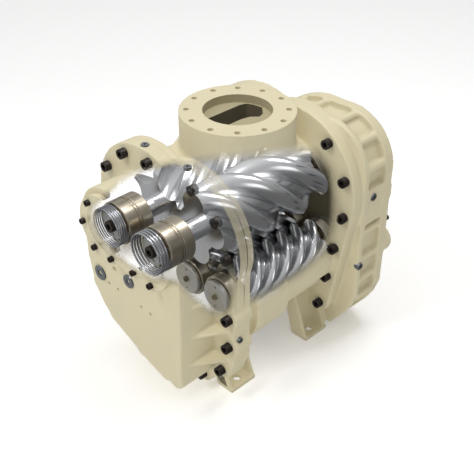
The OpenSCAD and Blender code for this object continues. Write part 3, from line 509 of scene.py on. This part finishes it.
# Discharge housing: one iron casting bolted to the front flange. It carries the front bearings of
# stage one and holds the way into stage two, and its nose is machined flat for the bearing cover.
discharge_housing = casting("discharge_housing_casting", pattern, -0.5, front_joint, [
    [slab(-0.6, nose_face)],
    [prism(disc(c, seat_1), -0.5, -276 * mm) for c in (male_1, female_1)],
    [prism(disc(c, shaft_hole_1), -0.3, -0.2) for c in (male_1, female_1)],
    [prism([(x * mm, z * mm) for x, z in ((-165, 415), (-150, 315), (-85, 232), (30, 178),
                                          (125, 136), (158, 160), (168, 300), (160, 415))],
           -369 * mm, -246 * mm)],
    [prism(disc((x * mm, z * mm), r * mm, 32), -0.4, nose_face + d * mm) for x, z, r, d in (
        (-113, 326, 5, 13), (-72, 324, 5, 13), (35, 320, 5, 13), (75, 318, 5, 13),
        (-80, 395, 8, 11))],
], lambda place: in_seats(place, seat_1, male_1, female_1))
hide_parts("discharge_housing")

# Gear case and rear cover: two iron castings bolted together behind the rotor housing, with the
# gears in the space between. The gear case carries the rear bearings, and both are machined flat
# where they meet.
def gear_space(inset, sides, y0, y1):
    """The space round the gears, a wall's thickness inside the outline."""
    return [[prism(disc((97 * mm, 519 * mm), (236 - inset) * mm), y0, y1)],
            [prism(disc((165 * mm, 590 * mm), (166 - inset) * mm), y0, y1)],
            [prism(disc(drive, (217 - inset) * mm), y0, y1)],
            [prism([(x * mm, z * mm) for x, z in sides], y0, y1)]]


gear_wall, drive_seat, paint_kept = 289 * mm, 45.05 * mm, 281 * mm
gear_case = casting("gear_case_casting", pattern, rear_joint, case_joint, gear_space(42, (
    (-215, 300), (-140, 90), (-100, 66), (215, 66), (250, 110), (275, 150), (289, 190), (289, 440),
    (0, 470)), gear_wall, 366 * mm) + [
    [prism(disc(c, seat_1), 240 * mm, 0.35) for c in (male_1, female_1)],
    [prism(disc(c, shaft_hole_1), 0.2, 0.25) for c in (male_1, female_1)],
    [prism(disc(c, seat_2), 234 * mm, 0.35) for c in (male_2, female_2)],
    [prism(disc(c, shaft_hole_2), 0.2, 0.25) for c in (male_2, female_2)],
    [prism(disc(drive, drive_seat), 246 * mm, 0.35)],
], lambda place: abs(place.y - gear_wall) < 0.5 * mm or in_seats(
    place, seat_1, male_1, female_1) or in_seats(place, seat_2, male_2, female_2), paint_kept)
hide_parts("gear_case")
rear_cover = casting("rear_cover_casting", pattern, case_joint, 0.6, gear_space(58, (
    (-200, 300), (-130, 105), (-95, 82), (200, 82), (230, 115), (255, 150), (273, 195), (273, 440),
    (0, 470)), gear_wall, 365 * mm) + [
    [slab(rear_face + 14 * mm, 0.7)],
    [prism(disc(drive, seat_1), 0.33, 374 * mm)],
    [prism(disc(drive, 36.5 * mm), 0.33, 0.5)],
    [prism(disc(drive, drive_seat), 382 * mm, 0.5)],
], lambda place: place.y < 366 * mm and off_axis(place, drive) < 160 * mm, paint_kept)
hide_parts("rear_cover")
bpy.data.objects.remove(pattern)


# Bearing cover: a flat iron plate over the front bearings, with a recess inside for each of the
# preload springs
rough_cover = rough_casting("rough_cover", ["bearing_cover"], [
    prism(disc(c, 104 * mm), cover_face - 6 * mm, cover_face + 4 * mm) for c in (male_1, female_1)
] + [prism([(-88 * mm, 445 * mm), (88 * mm, 445 * mm), (88 * mm, 625 * mm), (-88 * mm, 625 * mm)],
           cover_face - 6 * mm, cover_face + 4 * mm)]
    + stoppers("cover_cap_screws", -408, -390), 3 * mm)
cover = casting("bearing_cover_plate", rough_cover, cover_face, -0.385, [
    [prism(disc(female_1, 63 * mm), nose_face - 10 * mm, -0.37)],
    [prism(disc(male_1, 65 * mm), nose_face - 15 * mm, -0.37)],
], lambda place: place.y > nose_face - 16 * mm and in_seats(place, seat_1, male_1, female_1))
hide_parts("bearing_cover")
bpy.data.objects.remove(rough_cover)


# Screw rotors: forged steel, the lobes and grooves ground to size and polished, so they carry
# long bright streaks along the twist
def ground_steel(name, low, high, rough, along_mm=0.6):
    """Ground and polished steel: clean grey metal with fine lines from the grinding wheel."""
    material, tree, shader = finish_named(name)
    place = add(tree, "ShaderNodeTexCoord").outputs["Object"]
    stretch = add(tree, "ShaderNodeMapping", Vector=place, Scale=(1, 0.12, 1)).outputs[0]
    lines = add(tree, "ShaderNodeTexNoise", Vector=stretch, Scale=1 / (along_mm * mm),
                Detail=2).outputs["Fac"]
    tone, film = clouded(tree, place, low, high, 14, 4)
    tree.links.new(tone, shader.inputs["Base Color"])
    shader.inputs["Metallic"].default_value = 1
    smear = add(tree, "ShaderNodeMath", {"operation": "ADD"}, _0=film, _1=lines).outputs[0]
    gloss = add(tree, "ShaderNodeMapRange", Value=smear, From_Max=2, To_Min=rough - 0.06,
                To_Max=rough + 0.08).outputs[0]
    tree.links.new(gloss, shader.inputs["Roughness"])
    edge = add(tree, "ShaderNodeBevel", {"samples": 4}, Radius=0.8 * mm).outputs[0]
    bump = add(tree, "ShaderNodeBump", Strength=0.08, Distance=0.05 * mm, Height=lines,
               Normal=edge).outputs[0]
    tree.links.new(bump, shader.inputs["Normal"])
    return material


rotor_steel = ground_steel("polished_rotor_steel", "#d0d1d3", "#dfe0e1", 0.22)
flank_gap = 1 * mm


def male_outline(pitch, over, steps=192):
    """Four round lobes on a root circle, as radius by angle."""
    lobe, root = over / 2 - pitch - flank_gap / 2, pitch - flank_gap
    points = []
    for k in range(steps):
        a = 2 * math.pi * k / steps
        off = (a + math.pi / 4) % (math.pi / 2) - math.pi / 4
        side = pitch * math.sin(off)
        reach = pitch * math.cos(off) + math.sqrt(lobe ** 2 - side ** 2) if abs(side) < lobe else 0
        r = max(root, reach)
        points.append((r * math.cos(a), r * math.sin(a)))
    return points


def female_outline(pitch, male_pitch, over):
    """Six round grooves cut into a disc, with sharp lands between them."""
    groove = over / 2 - male_pitch + flank_gap / 2
    half = 2 * math.asin(groove / 2 / pitch)
    start = math.atan2(pitch * math.sin(half), pitch * (math.cos(half) - 1))
    points = []
    for k in range(6):
        turn = k * math.pi / 3
        for i in range(25):
            a = 2 * math.pi - start - i / 24 * (2 * math.pi - 2 * start)
            x, z = pitch + groove * math.cos(a), groove * math.sin(a)
            points.append((x * math.cos(turn) - z * math.sin(turn),
                           x * math.sin(turn) + z * math.cos(turn)))
        for i in range(1, 7):
            a = turn + half + (math.pi / 3 - 2 * half) * i / 7
            points.append((pitch * math.cos(a), pitch * math.sin(a)))
    return points


def screw_rotor(name, outline, centre, y0, y1, lead, hand, slices, shafts, node, body):
    """Twists the outline along Y about the shaft, and adds the shaft ends as (y0, y1, radius)."""
    n = len(outline)
    verts, faces = [], []
    for s in range(slices + 1):
        y = y0 + (y1 - y0) * s / slices
        a = hand * 2 * math.pi * (y1 - y) / lead
        c, d = math.cos(a), math.sin(a)
        verts += [(centre[0] + x * c - z * d, y, centre[1] + x * d + z * c) for x, z in outline]
    for s in range(slices):
        for i in range(n):
            j = (i + 1) % n
            faces.append([s * n + i, s * n + j, (s + 1) * n + j, (s + 1) * n + i])
    faces += [list(range(n))[::-1], list(range(slices * n, slices * n + n))]
    solids = [(verts, faces)]
    for a, b, radius in shafts:
        solids.append(turned(centre, [(a, 0), (a, radius - 1.5 * mm), (a + 1.5 * mm, radius),
                                      (b - 1.5 * mm, radius), (b, radius - 1.5 * mm), (b, 0)]))
    made = gathered(name, solids)
    smoothed(made, 28)
    made.data.materials.append(rotor_steel)
    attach(made, body)
    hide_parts(node)


def turned(centre, profile, steps=72):
    """A lathe-turned solid about a shaft from (y, radius) points that start and end at radius 0."""
    verts, faces = [], []
    rows = []
    for y, r in profile:
        if r < 1e-7:
            rows.append([len(verts)] * steps)
            verts.append((centre[0], y, centre[1]))
        else:
            rows.append(list(range(len(verts), len(verts) + steps)))
            verts += [(centre[0] + r * math.cos(2 * math.pi * k / steps), y,
                       centre[1] + r * math.sin(2 * math.pi * k / steps)) for k in range(steps)]
    for a, b in zip(rows, rows[1:]):
        for k in range(steps):
            j = (k + 1) % steps
            face = [a[k], a[j], b[j], b[k]]
            faces.append(list(dict.fromkeys(face)))
    return verts, [f for f in faces if len(f) > 2]


def closed_turning(centre, loop, steps=96):
    """Turns a closed loop of (y, radius) about a shaft."""
    n = len(loop)
    verts = [(centre[0] + r * math.cos(2 * math.pi * k / steps), y,
              centre[1] + r * math.sin(2 * math.pi * k / steps))
             for y, r in loop for k in range(steps)]
    faces = [[i * steps + k, i * steps + (k + 1) % steps, (i + 1) % n * steps + (k + 1) % steps,
              (i + 1) % n * steps + k] for i in range(n) for k in range(steps)]
    return verts, faces


def ring_turned(centre, y0, y1, outer, inner, chamfer):
    """A turned ring with chamfered edges."""
    c = chamfer
    return closed_turning(centre, [
        (y0, inner + c), (y0, outer - c), (y0 + c, outer), (y1 - c, outer), (y1, outer - c),
        (y1, inner + c), (y1 - c, inner), (y0 + c, inner)])


journal_1, journal_2 = 62 * mm, 46 * mm
over_1, pitch_m1, pitch_f1, lead_1 = 226 * mm, 70.4 * mm, 105.6 * mm, 562 * mm
over_2, pitch_m2, pitch_f2, lead_2 = 155 * mm, 49.6 * mm, 74.4 * mm, 252 * mm
lobes_1 = (-217 * mm, 217 * mm)
lobes_2 = (-140 * mm, 217 * mm)
row_1, row_2, row_width = -360 * mm, -312 * mm, 36 * mm
rear_row, rear_row_2, front_row_2, width_2 = 240 * mm, 234 * mm, -186 * mm, 34 * mm
screw_rotor("stage1_male_screw", male_outline(pitch_m1, over_1), male_1, *lobes_1, lead_1, 1, 160,
            [(row_1 - 2 * mm, -216 * mm, journal_1 / 2), (216 * mm, 338 * mm, journal_1 / 2)],
            "stage1_male_rotor", "stage1_male")
screw_rotor("stage1_female_screw", female_outline(pitch_f1, pitch_m1, over_1), female_1, *lobes_1,
            lead_1 * 1.5, -1, 110,
            [(row_1 - 2 * mm, -216 * mm, journal_1 / 2), (216 * mm, 280 * mm, journal_1 / 2)],
            "stage1_female_rotor", "stage1_female")
screw_rotor("stage2_male_screw", male_outline(pitch_m2, over_2), male_2, *lobes_2, lead_2, -1, 240,
            [(front_row_2 - 2 * mm, -139 * mm, journal_2 / 2), (216 * mm, 338 * mm, journal_2 / 2)],
            "stage2_male_rotor", "stage2_male")
screw_rotor("stage2_female_screw", female_outline(pitch_f2, pitch_m2, over_2), female_2, *lobes_2,
            lead_2 * 1.5, 1, 160,
            [(front_row_2 - 2 * mm, -139 * mm, journal_2 / 2), (216 * mm, 272 * mm, journal_2 / 2)],
            "stage2_female_rotor", "stage2_female")


# Roller bearings: hardened chrome steel rings, ground and lightly oiled, with machined brass
# cages between the rollers
ring_steel = ground_steel("bearing_ring_steel", "#a89f8e", "#bdb5a4", 0.3)
roller_steel = ground_steel("bearing_roller_steel", "#9a9a9c", "#b6b6b8", 0.18)
cage_brass = ground_steel("cage_brass", "#7c6540", "#8d7650", 0.38)
seat_gap, roller_gap = 0.05 * mm, 0.08 * mm


def race(outside, bore):
    """How thick each ring of a bearing is."""
    return (outside - bore) * 0.13


def outer_rings(name, places_along, outside, bore, node, spacers=()):
    """Outer rings with chamfered edges, and the grooved spacers between rows."""
    solids = []
    for centre, y0, y1 in spacers:
        mid, inner = (y0 + y1) / 2, outside / 2 - race(outside, bore)
        low, land = outside / 2 - 2.5 * mm, 2.5 * mm
        solids.append(closed_turning(centre, [
            (y0, inner), (y0, low), (mid - land, low), (mid - land, outside / 2),
            (mid + land, outside / 2), (mid + land, low), (y1, low), (y1, inner)]))
    for centre, y0, width in places_along:
        inner = outside / 2 - race(outside, bore)
        solids.append(ring_turned(centre, y0, y0 + width, outside / 2, inner, 1.6 * mm))
    made = gathered(name, solids)
    smoothed(made, 30)
    made.data.materials.append(ring_steel)
    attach(made, "housing")
    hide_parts(node)


def roller_set(name, rows, outside, bore, node, body):
    """Inner rings with their rollers and cages, which turn with the shaft."""
    solids, kinds = [], []
    for centre, y0, width in rows:
        thick = race(outside, bore)
        inner = bore / 2 + thick
        roller = (outside / 2 - thick - inner - roller_gap) / 2
        mid = outside / 2 - thick - roller_gap - roller
        count = int(math.pi * mid / roller / 1.12)
        solids.append(ring_turned(centre, y0, y0 + width, inner + 0.6 * mm,
                                  bore / 2 + seat_gap, 1.2 * mm))
        kinds.append(0)
        for low in (y0 + 0.8 * mm, y0 + width - 4.8 * mm):
            solids.append(ring_turned(centre, low, low + 4 * mm, mid + roller * 0.55,
                                      mid - roller * 0.55, 0.5 * mm))
            kinds.append(2)
        for k in range(count):
            a = 2 * math.pi * k / count
            c = (centre[0] + mid * math.cos(a), centre[1] + mid * math.sin(a))
            y1 = y0 + width - 2 * mm
            solids.append(turned(c, [(y0 + 2 * mm, 0), (y0 + 2 * mm, roller - 0.7 * mm),
                                     (y0 + 2.7 * mm, roller), (y1 - 0.7 * mm, roller),
                                     (y1, roller - 0.7 * mm), (y1, 0)], 20))
            kinds.append(1)
    made = gathered(name, solids)
    smoothed(made, 30)
    for material in (ring_steel, roller_steel, cage_brass):
        made.data.materials.append(material)
    index = 0
    for (verts, faces), kind in zip(solids, kinds):
        for polygon in made.data.polygons[index:index + len(faces)]:
            polygon.material_index = kind
        index += len(faces)
    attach(made, body)
    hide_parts(node)


out_1, out_2 = 130 * mm, 118 * mm
front_1 = [(row_1, row_width), (row_2, row_width)]
outer_rings("stage1_front_rings", [(c, *r) for c in (male_1, female_1) for r in front_1], out_1,
                journal_1, "stage1_front_outer_rings",
            [(c, row_1 + row_width + 0.3 * mm, row_2 - 0.3 * mm) for c in (male_1, female_1)])
outer_rings("stage1_rear_rings", [(c, rear_row, row_width) for c in (male_1, female_1)], out_1,
            journal_1, "stage1_rear_outer_rings")
outer_rings("stage2_front_rings", [(c, front_row_2, width_2) for c in (male_2, female_2)], out_2,
            journal_2, "stage2_front_outer_rings")
outer_rings("stage2_rear_rings", [(c, rear_row_2, width_2) for c in (male_2, female_2)], out_2,
            journal_2, "stage2_rear_outer_rings")
for stage, sex, centre in ((1, "male", male_1), (1, "female", female_1), (2, "male", male_2),
                           (2, "female", female_2)):
    body = f"stage{stage}_{sex}"
    outside, bore = (out_1, journal_1) if stage == 1 else (out_2, journal_2)
    front = front_1 if stage == 1 else [(front_row_2, width_2)]
    rear = [(rear_row, row_width)] if stage == 1 else [(rear_row_2, width_2)]
    for end, rows in (("front", front), ("rear", rear)):
        roller_set(f"{body}_{end}_roller_set", [(centre, *r) for r in rows], outside, bore,
                   f"{body}_{end}_rollers", body)


# Preload springs: hard-drawn spring steel wire, coiled and ground flat at both ends, that press
# the front bearing rings home
spring_steel = ground_steel("spring_wire", "#9b9da1", "#bcbec2", 0.2, 0.3)


def coil(name, centre, y0, length, outside, wire, turns, node):
    """A round wire swept along its coil, with rounded wire ends."""
    around, sides = 72, 16
    steps = turns * around
    r = outside / 2 - wire / 2
    rise = (length - wire) / turns
    verts, faces = [], []
    for i in range(steps + 1):
        a = 2 * math.pi * i / around
        thin = wire / 2 * min(1, 0.45 + 0.12 * min(i, steps - i))
        for j in range(sides):
            b = 2 * math.pi * j / sides
            q = r + thin * math.cos(b)
            verts.append((centre[0] + q * math.cos(a),
                          y0 + wire / 2 + rise * i / around + thin * math.sin(b),
                          centre[1] + q * math.sin(a)))
    for i in range(steps):
        for j in range(sides):
            k = (j + 1) % sides
            faces.append([i * sides + j, i * sides + k, (i + 1) * sides + k, (i + 1) * sides + j])
    faces += [list(range(sides))[::-1], list(range(steps * sides, steps * sides + sides))]
    made = gathered(name, [(verts, faces)])
    smoothed(made, 50)
    made.data.materials.append(spring_steel)
    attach(made, "housing")
    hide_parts(node)


coil("left_spring_coil", female_1, -398.7 * mm, 38.4 * mm, 122 * mm, 4.5 * mm, 5,
     "left_preload_spring")
coil("right_spring_coil", male_1, -403.7 * mm, 43.4 * mm, 128 * mm, 6 * mm, 4,
     "right_preload_spring")


# Cap screws: high-tensile steel, cold-headed with a knurled rim and blacked, so they are dark
# brown-black with a dull oily shine
def black_oxide(name, fades, heads_to=None):
    """Blacked steel. Where the paint fades, screws fade too, but for heads in front of heads_to."""
    material, tree, shader = finish_named(name)
    place = add(tree, "ShaderNodeTexCoord").outputs["Object"]
    tone, bloom = clouded(tree, place, "#1a1512", "#33291f", 60, 4)
    tree.links.new(tone, shader.inputs["Base Color"])
    shader.inputs["Metallic"].default_value = 0.4
    gloss = add(tree, "ShaderNodeMapRange", Value=bloom, To_Min=0.3, To_Max=0.5).outputs[0]
    tree.links.new(gloss, shader.inputs["Roughness"])
    edge = add(tree, "ShaderNodeBevel", {"samples": 4}, Radius=1.5 * mm).outputs[0]
    tree.links.new(edge, shader.inputs["Normal"])
    if fades:
        solid = add(tree, "ShaderNodeMapRange", {"interpolation_type": "SMOOTHSTEP"},
                    Value=clear_windows(tree), From_Min=0.55, From_Max=0.9).outputs[0]
        if heads_to is not None:
            depth = add(tree, "ShaderNodeSeparateXYZ", _0=place).outputs["Y"]
            head = add(tree, "ShaderNodeMapRange", Value=depth, From_Min=heads_to,
                       From_Max=heads_to - 1 * mm, To_Max=0.7).outputs[0]
            solid = add(tree, "ShaderNodeMath", {"operation": "MAXIMUM"}, _0=solid,
                        _1=head).outputs[0]
        tree.links.new(solid, shader.inputs["Alpha"])
    return material


blacked = black_oxide("blacked_steel", False)
clear_blacked = black_oxide("blacked_steel_clearing", True)
flange_blacked = black_oxide("blacked_flange_screws", True, -260 * mm)
finished(flange_blacked, "front_cap_screws")
finished(clear_blacked, "rear_cap_screws", "cover_cap_screws")
finished(blacked, "rear_cover_screws", "branch_cap_screws")


# Shaft end plates: turned steel discs with two jacking holes, each held on its shaft end by one
# large blacked socket screw
plate_steel = ground_steel("end_plate_steel", "#c0bfbc", "#d0cfcb", 0.5)


def end_plate(shaft, centre, back, radius, thread, body):
    """A chamfered disc and the screw in its middle, as one piece in two finishes."""
    thick, hole = 12 * mm, 4 * mm
    face = back - thick
    disc_part = gathered("disc", [turned(centre, [
        (face, 0), (face, radius - 2.5 * mm), (face + 2.5 * mm, radius), (back - 1 * mm, radius),
        (back, radius - 1 * mm), (back, 0)], 120)])
    for side in (-1, 1):
        c = (centre[0], centre[1] + side * radius * 0.68)
        drill = prism(disc(c, hole, 32), face - hole, face + 6 * mm)
        machined(disc_part, gathered("drill", [drill]))
    top, head_r = face - thread * 0.6, thread * 0.75
    screw = gathered("screw", [turned(centre, [
        (top, 0), (top, head_r - 1.5 * mm), (top + 1.5 * mm, head_r), (face, head_r), (face, 0)])])
    socket = prism(disc(centre, thread * 0.45, 6), top - hole, face - 1 * mm)
    machined(screw, gathered("broach", [socket]))
    whole = bmesh.new()
    for index, part in enumerate((disc_part, screw)):
        begin = len(whole.faces)
        whole.from_mesh(part.data)
        whole.faces.ensure_lookup_table()
        for face_of in whole.faces[begin:]:
            face_of.material_index = index
        bpy.data.objects.remove(part)
    made = object_of(f"{shaft}_end_disc", [], [])
    whole.to_mesh(made.data)
    whole.free()
    made.data.materials.append(plate_steel)
    made.data.materials.append(blacked)
    smoothed(made, 28)
    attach(made, body)
    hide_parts(f"{shaft}_end_plate")


for shaft, centre, back, radius, thread in (
        ("stage1_male", male_1, row_1 - 2 * mm, 44 * mm, 24 * mm),
        ("stage1_female", female_1, row_1 - 2 * mm, 44 * mm, 24 * mm),
        ("stage2_male", male_2, front_row_2 - 2 * mm, 50 * mm, 12 * mm),
        ("stage2_female", female_2, front_row_2 - 2 * mm, 50 * mm, 12 * mm)):
    end_plate(shaft, centre, back, radius, thread, shaft)


# Gears, drive shaft and dowel pins: case-hardened steel, ground on the teeth and seats. The
# pinions are shrunk on the male rotors and the big gear on the drive shaft.
gear_steel = ground_steel("gear_steel", "#7e8083", "#9b9da0", 0.3)
finished(gear_steel, "stage1_pinion", "stage2_pinion", "drive_gear", "drive_shaft", "dowel_pins")
finished(ring_steel, "drive_outer_rings", "drive_inner_rollers", "drive_outer_rollers")


# Discharge branch: a turned cast-iron pipe piece with a tapped flange, held on the boss of the
# rotor housing by six screws through its root flange
front_face, back_face = -250 * mm, boss_face
outlet_bore, outlet_pcd, outlet_tap = 100 * mm, 180 * mm, 14 * mm
flange_r, pipe_r, root_r = 110 * mm, 62 * mm, 86 * mm
flange_back, root_front = front_face + 30 * mm, back_face - 16 * mm


def cove(x, r, size, towards, steps=6):
    """Points of a hollow round from a flange face down to the pipe, or back up."""
    return [(x + towards * size * (1 - math.sin(math.pi / 2 * k / steps)),
             r + size * (1 - math.cos(math.pi / 2 * k / steps))) for k in range(steps + 1)]


branch = gathered("discharge_branch_casting", [along(closed_turning(outlet, [
    (front_face, outlet_bore / 2 + 1 * mm), (front_face, flange_r - 2 * mm),
    (front_face + 2 * mm, flange_r), (flange_back - 3 * mm, flange_r),
    (flange_back, flange_r - 3 * mm),
    *cove(flange_back, pipe_r, 12 * mm, 1)[::-1],
    *cove(root_front, pipe_r, 3 * mm, -1),
    (root_front, root_r - 2 * mm), (root_front + 2 * mm, root_r), (back_face, root_r),
    (back_face, outlet_bore / 2), (front_face + 1 * mm, outlet_bore / 2)], 128), "x")])
for tool in (ring_of(outlet, outlet_pcd / 2, 8, 22.5, outlet_tap, -0.3, flange_back - 3 * mm, "x"),
             ring_of(outlet, 74 * mm, 6, 30, 10.6 * mm, -0.17, -0.14, "x")):
    machined(branch, gathered("drill", tool))
smoothed(branch, 32)
branch.data.materials.clear()
branch.data.materials.append(enamel)
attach(branch, "housing")
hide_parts("discharge_branch")


# Screw plugs: zinc-plated steel with a hexagon socket, screwed into the oil galleries of the
# castings.
zinc = ground_steel("zinc_plate", "#85898c", "#9fa3a6", 0.36)
finished(zinc, "casing_plugs", "oil_plugs")


# Shaft seal: a moulded lip of black nitrile rubber in a pressed ring, pushed into the rear cover
# round the drive shaft.
rubber, tree, shader = finish_named("nitrile_rubber")
place = add(tree, "ShaderNodeTexCoord").outputs["Object"]
tone, bloom = clouded(tree, place, "#15161a", "#24252a", 120, 3)
tree.links.new(tone, shader.inputs["Base Color"])
gloss = add(tree, "ShaderNodeMapRange", Value=bloom, To_Min=0.5, To_Max=0.7).outputs[0]
tree.links.new(gloss, shader.inputs["Roughness"])
finished(rubber, "shaft_seal")


# Studio: a wide sheet of pale paper on the floor, a sky that is brightest to the upper left, and
# three large soft lamps. The paper is kept out of the mirror of the polished steel.
floor = object_of("floor", [(-30, -30, 0), (30, -30, 0), (30, 30, 0), (-30, 30, 0)],
                  [(0, 1, 2, 3)])
paper, tree, shader = finish_named("studio_paper")
place = add(tree, "ShaderNodeTexCoord").outputs["Object"]
tone = clouded(tree, place, "#fbfbfa", "#ffffff", 30, 3)[0]
tree.links.new(tone, shader.inputs["Base Color"])
shader.inputs["Roughness"].default_value = 0.9
shader.inputs["Emission Color"].default_value = (1, 1, 1, 1)
shader.inputs["Emission Strength"].default_value = 0.14
floor.data.materials.append(paper)
floor.visible_glossy = False

bpy.context.scene.view_settings.view_transform = "Standard"
world = bpy.data.worlds.new("studio")
world.use_nodes = True
sky = world.node_tree
sky.nodes.clear()
way = add(sky, "ShaderNodeTexCoord").outputs["Generated"]
lit = add(sky, "ShaderNodeVectorMath", {"operation": "DOT_PRODUCT"}, _0=way,
          _1=(-0.5, -0.35, 0.79)).outputs["Value"]
lit = add(sky, "ShaderNodeMapRange", Value=lit, From_Min=-0.6, From_Max=1, To_Min=0.16,
          To_Max=0.84).outputs[0]
light = add(sky, "ShaderNodeBackground", Color=(1, 1, 1, 1), Strength=lit)
out = add(sky, "ShaderNodeOutputWorld")
sky.links.new(light.outputs[0], out.inputs[0])
bpy.context.scene.world = world


def lamp(name, place, aim, size, watts):
    """A square soft box."""
    made = bpy.data.lights.new(name, "AREA")
    made.size = size
    made.energy = watts
    stand = bpy.data.objects.new(name, made)
    stand.location = place
    stand.rotation_euler = (Vector(aim) - Vector(place)).to_track_quat("-Z", "Y").to_euler()
    bpy.context.collection.objects.link(stand)


lamp("key", (-0.6, -2.2, 3.2), (0, 0, 0.4), 0.8, 30)
lamp("fill", (3.0, -0.9, 1.6), (0, 0, 0.4), 1.4, 8)
lamp("top", (0.3, 1.0, 3.4), (0, 0, 0.4), 1.2, 31)
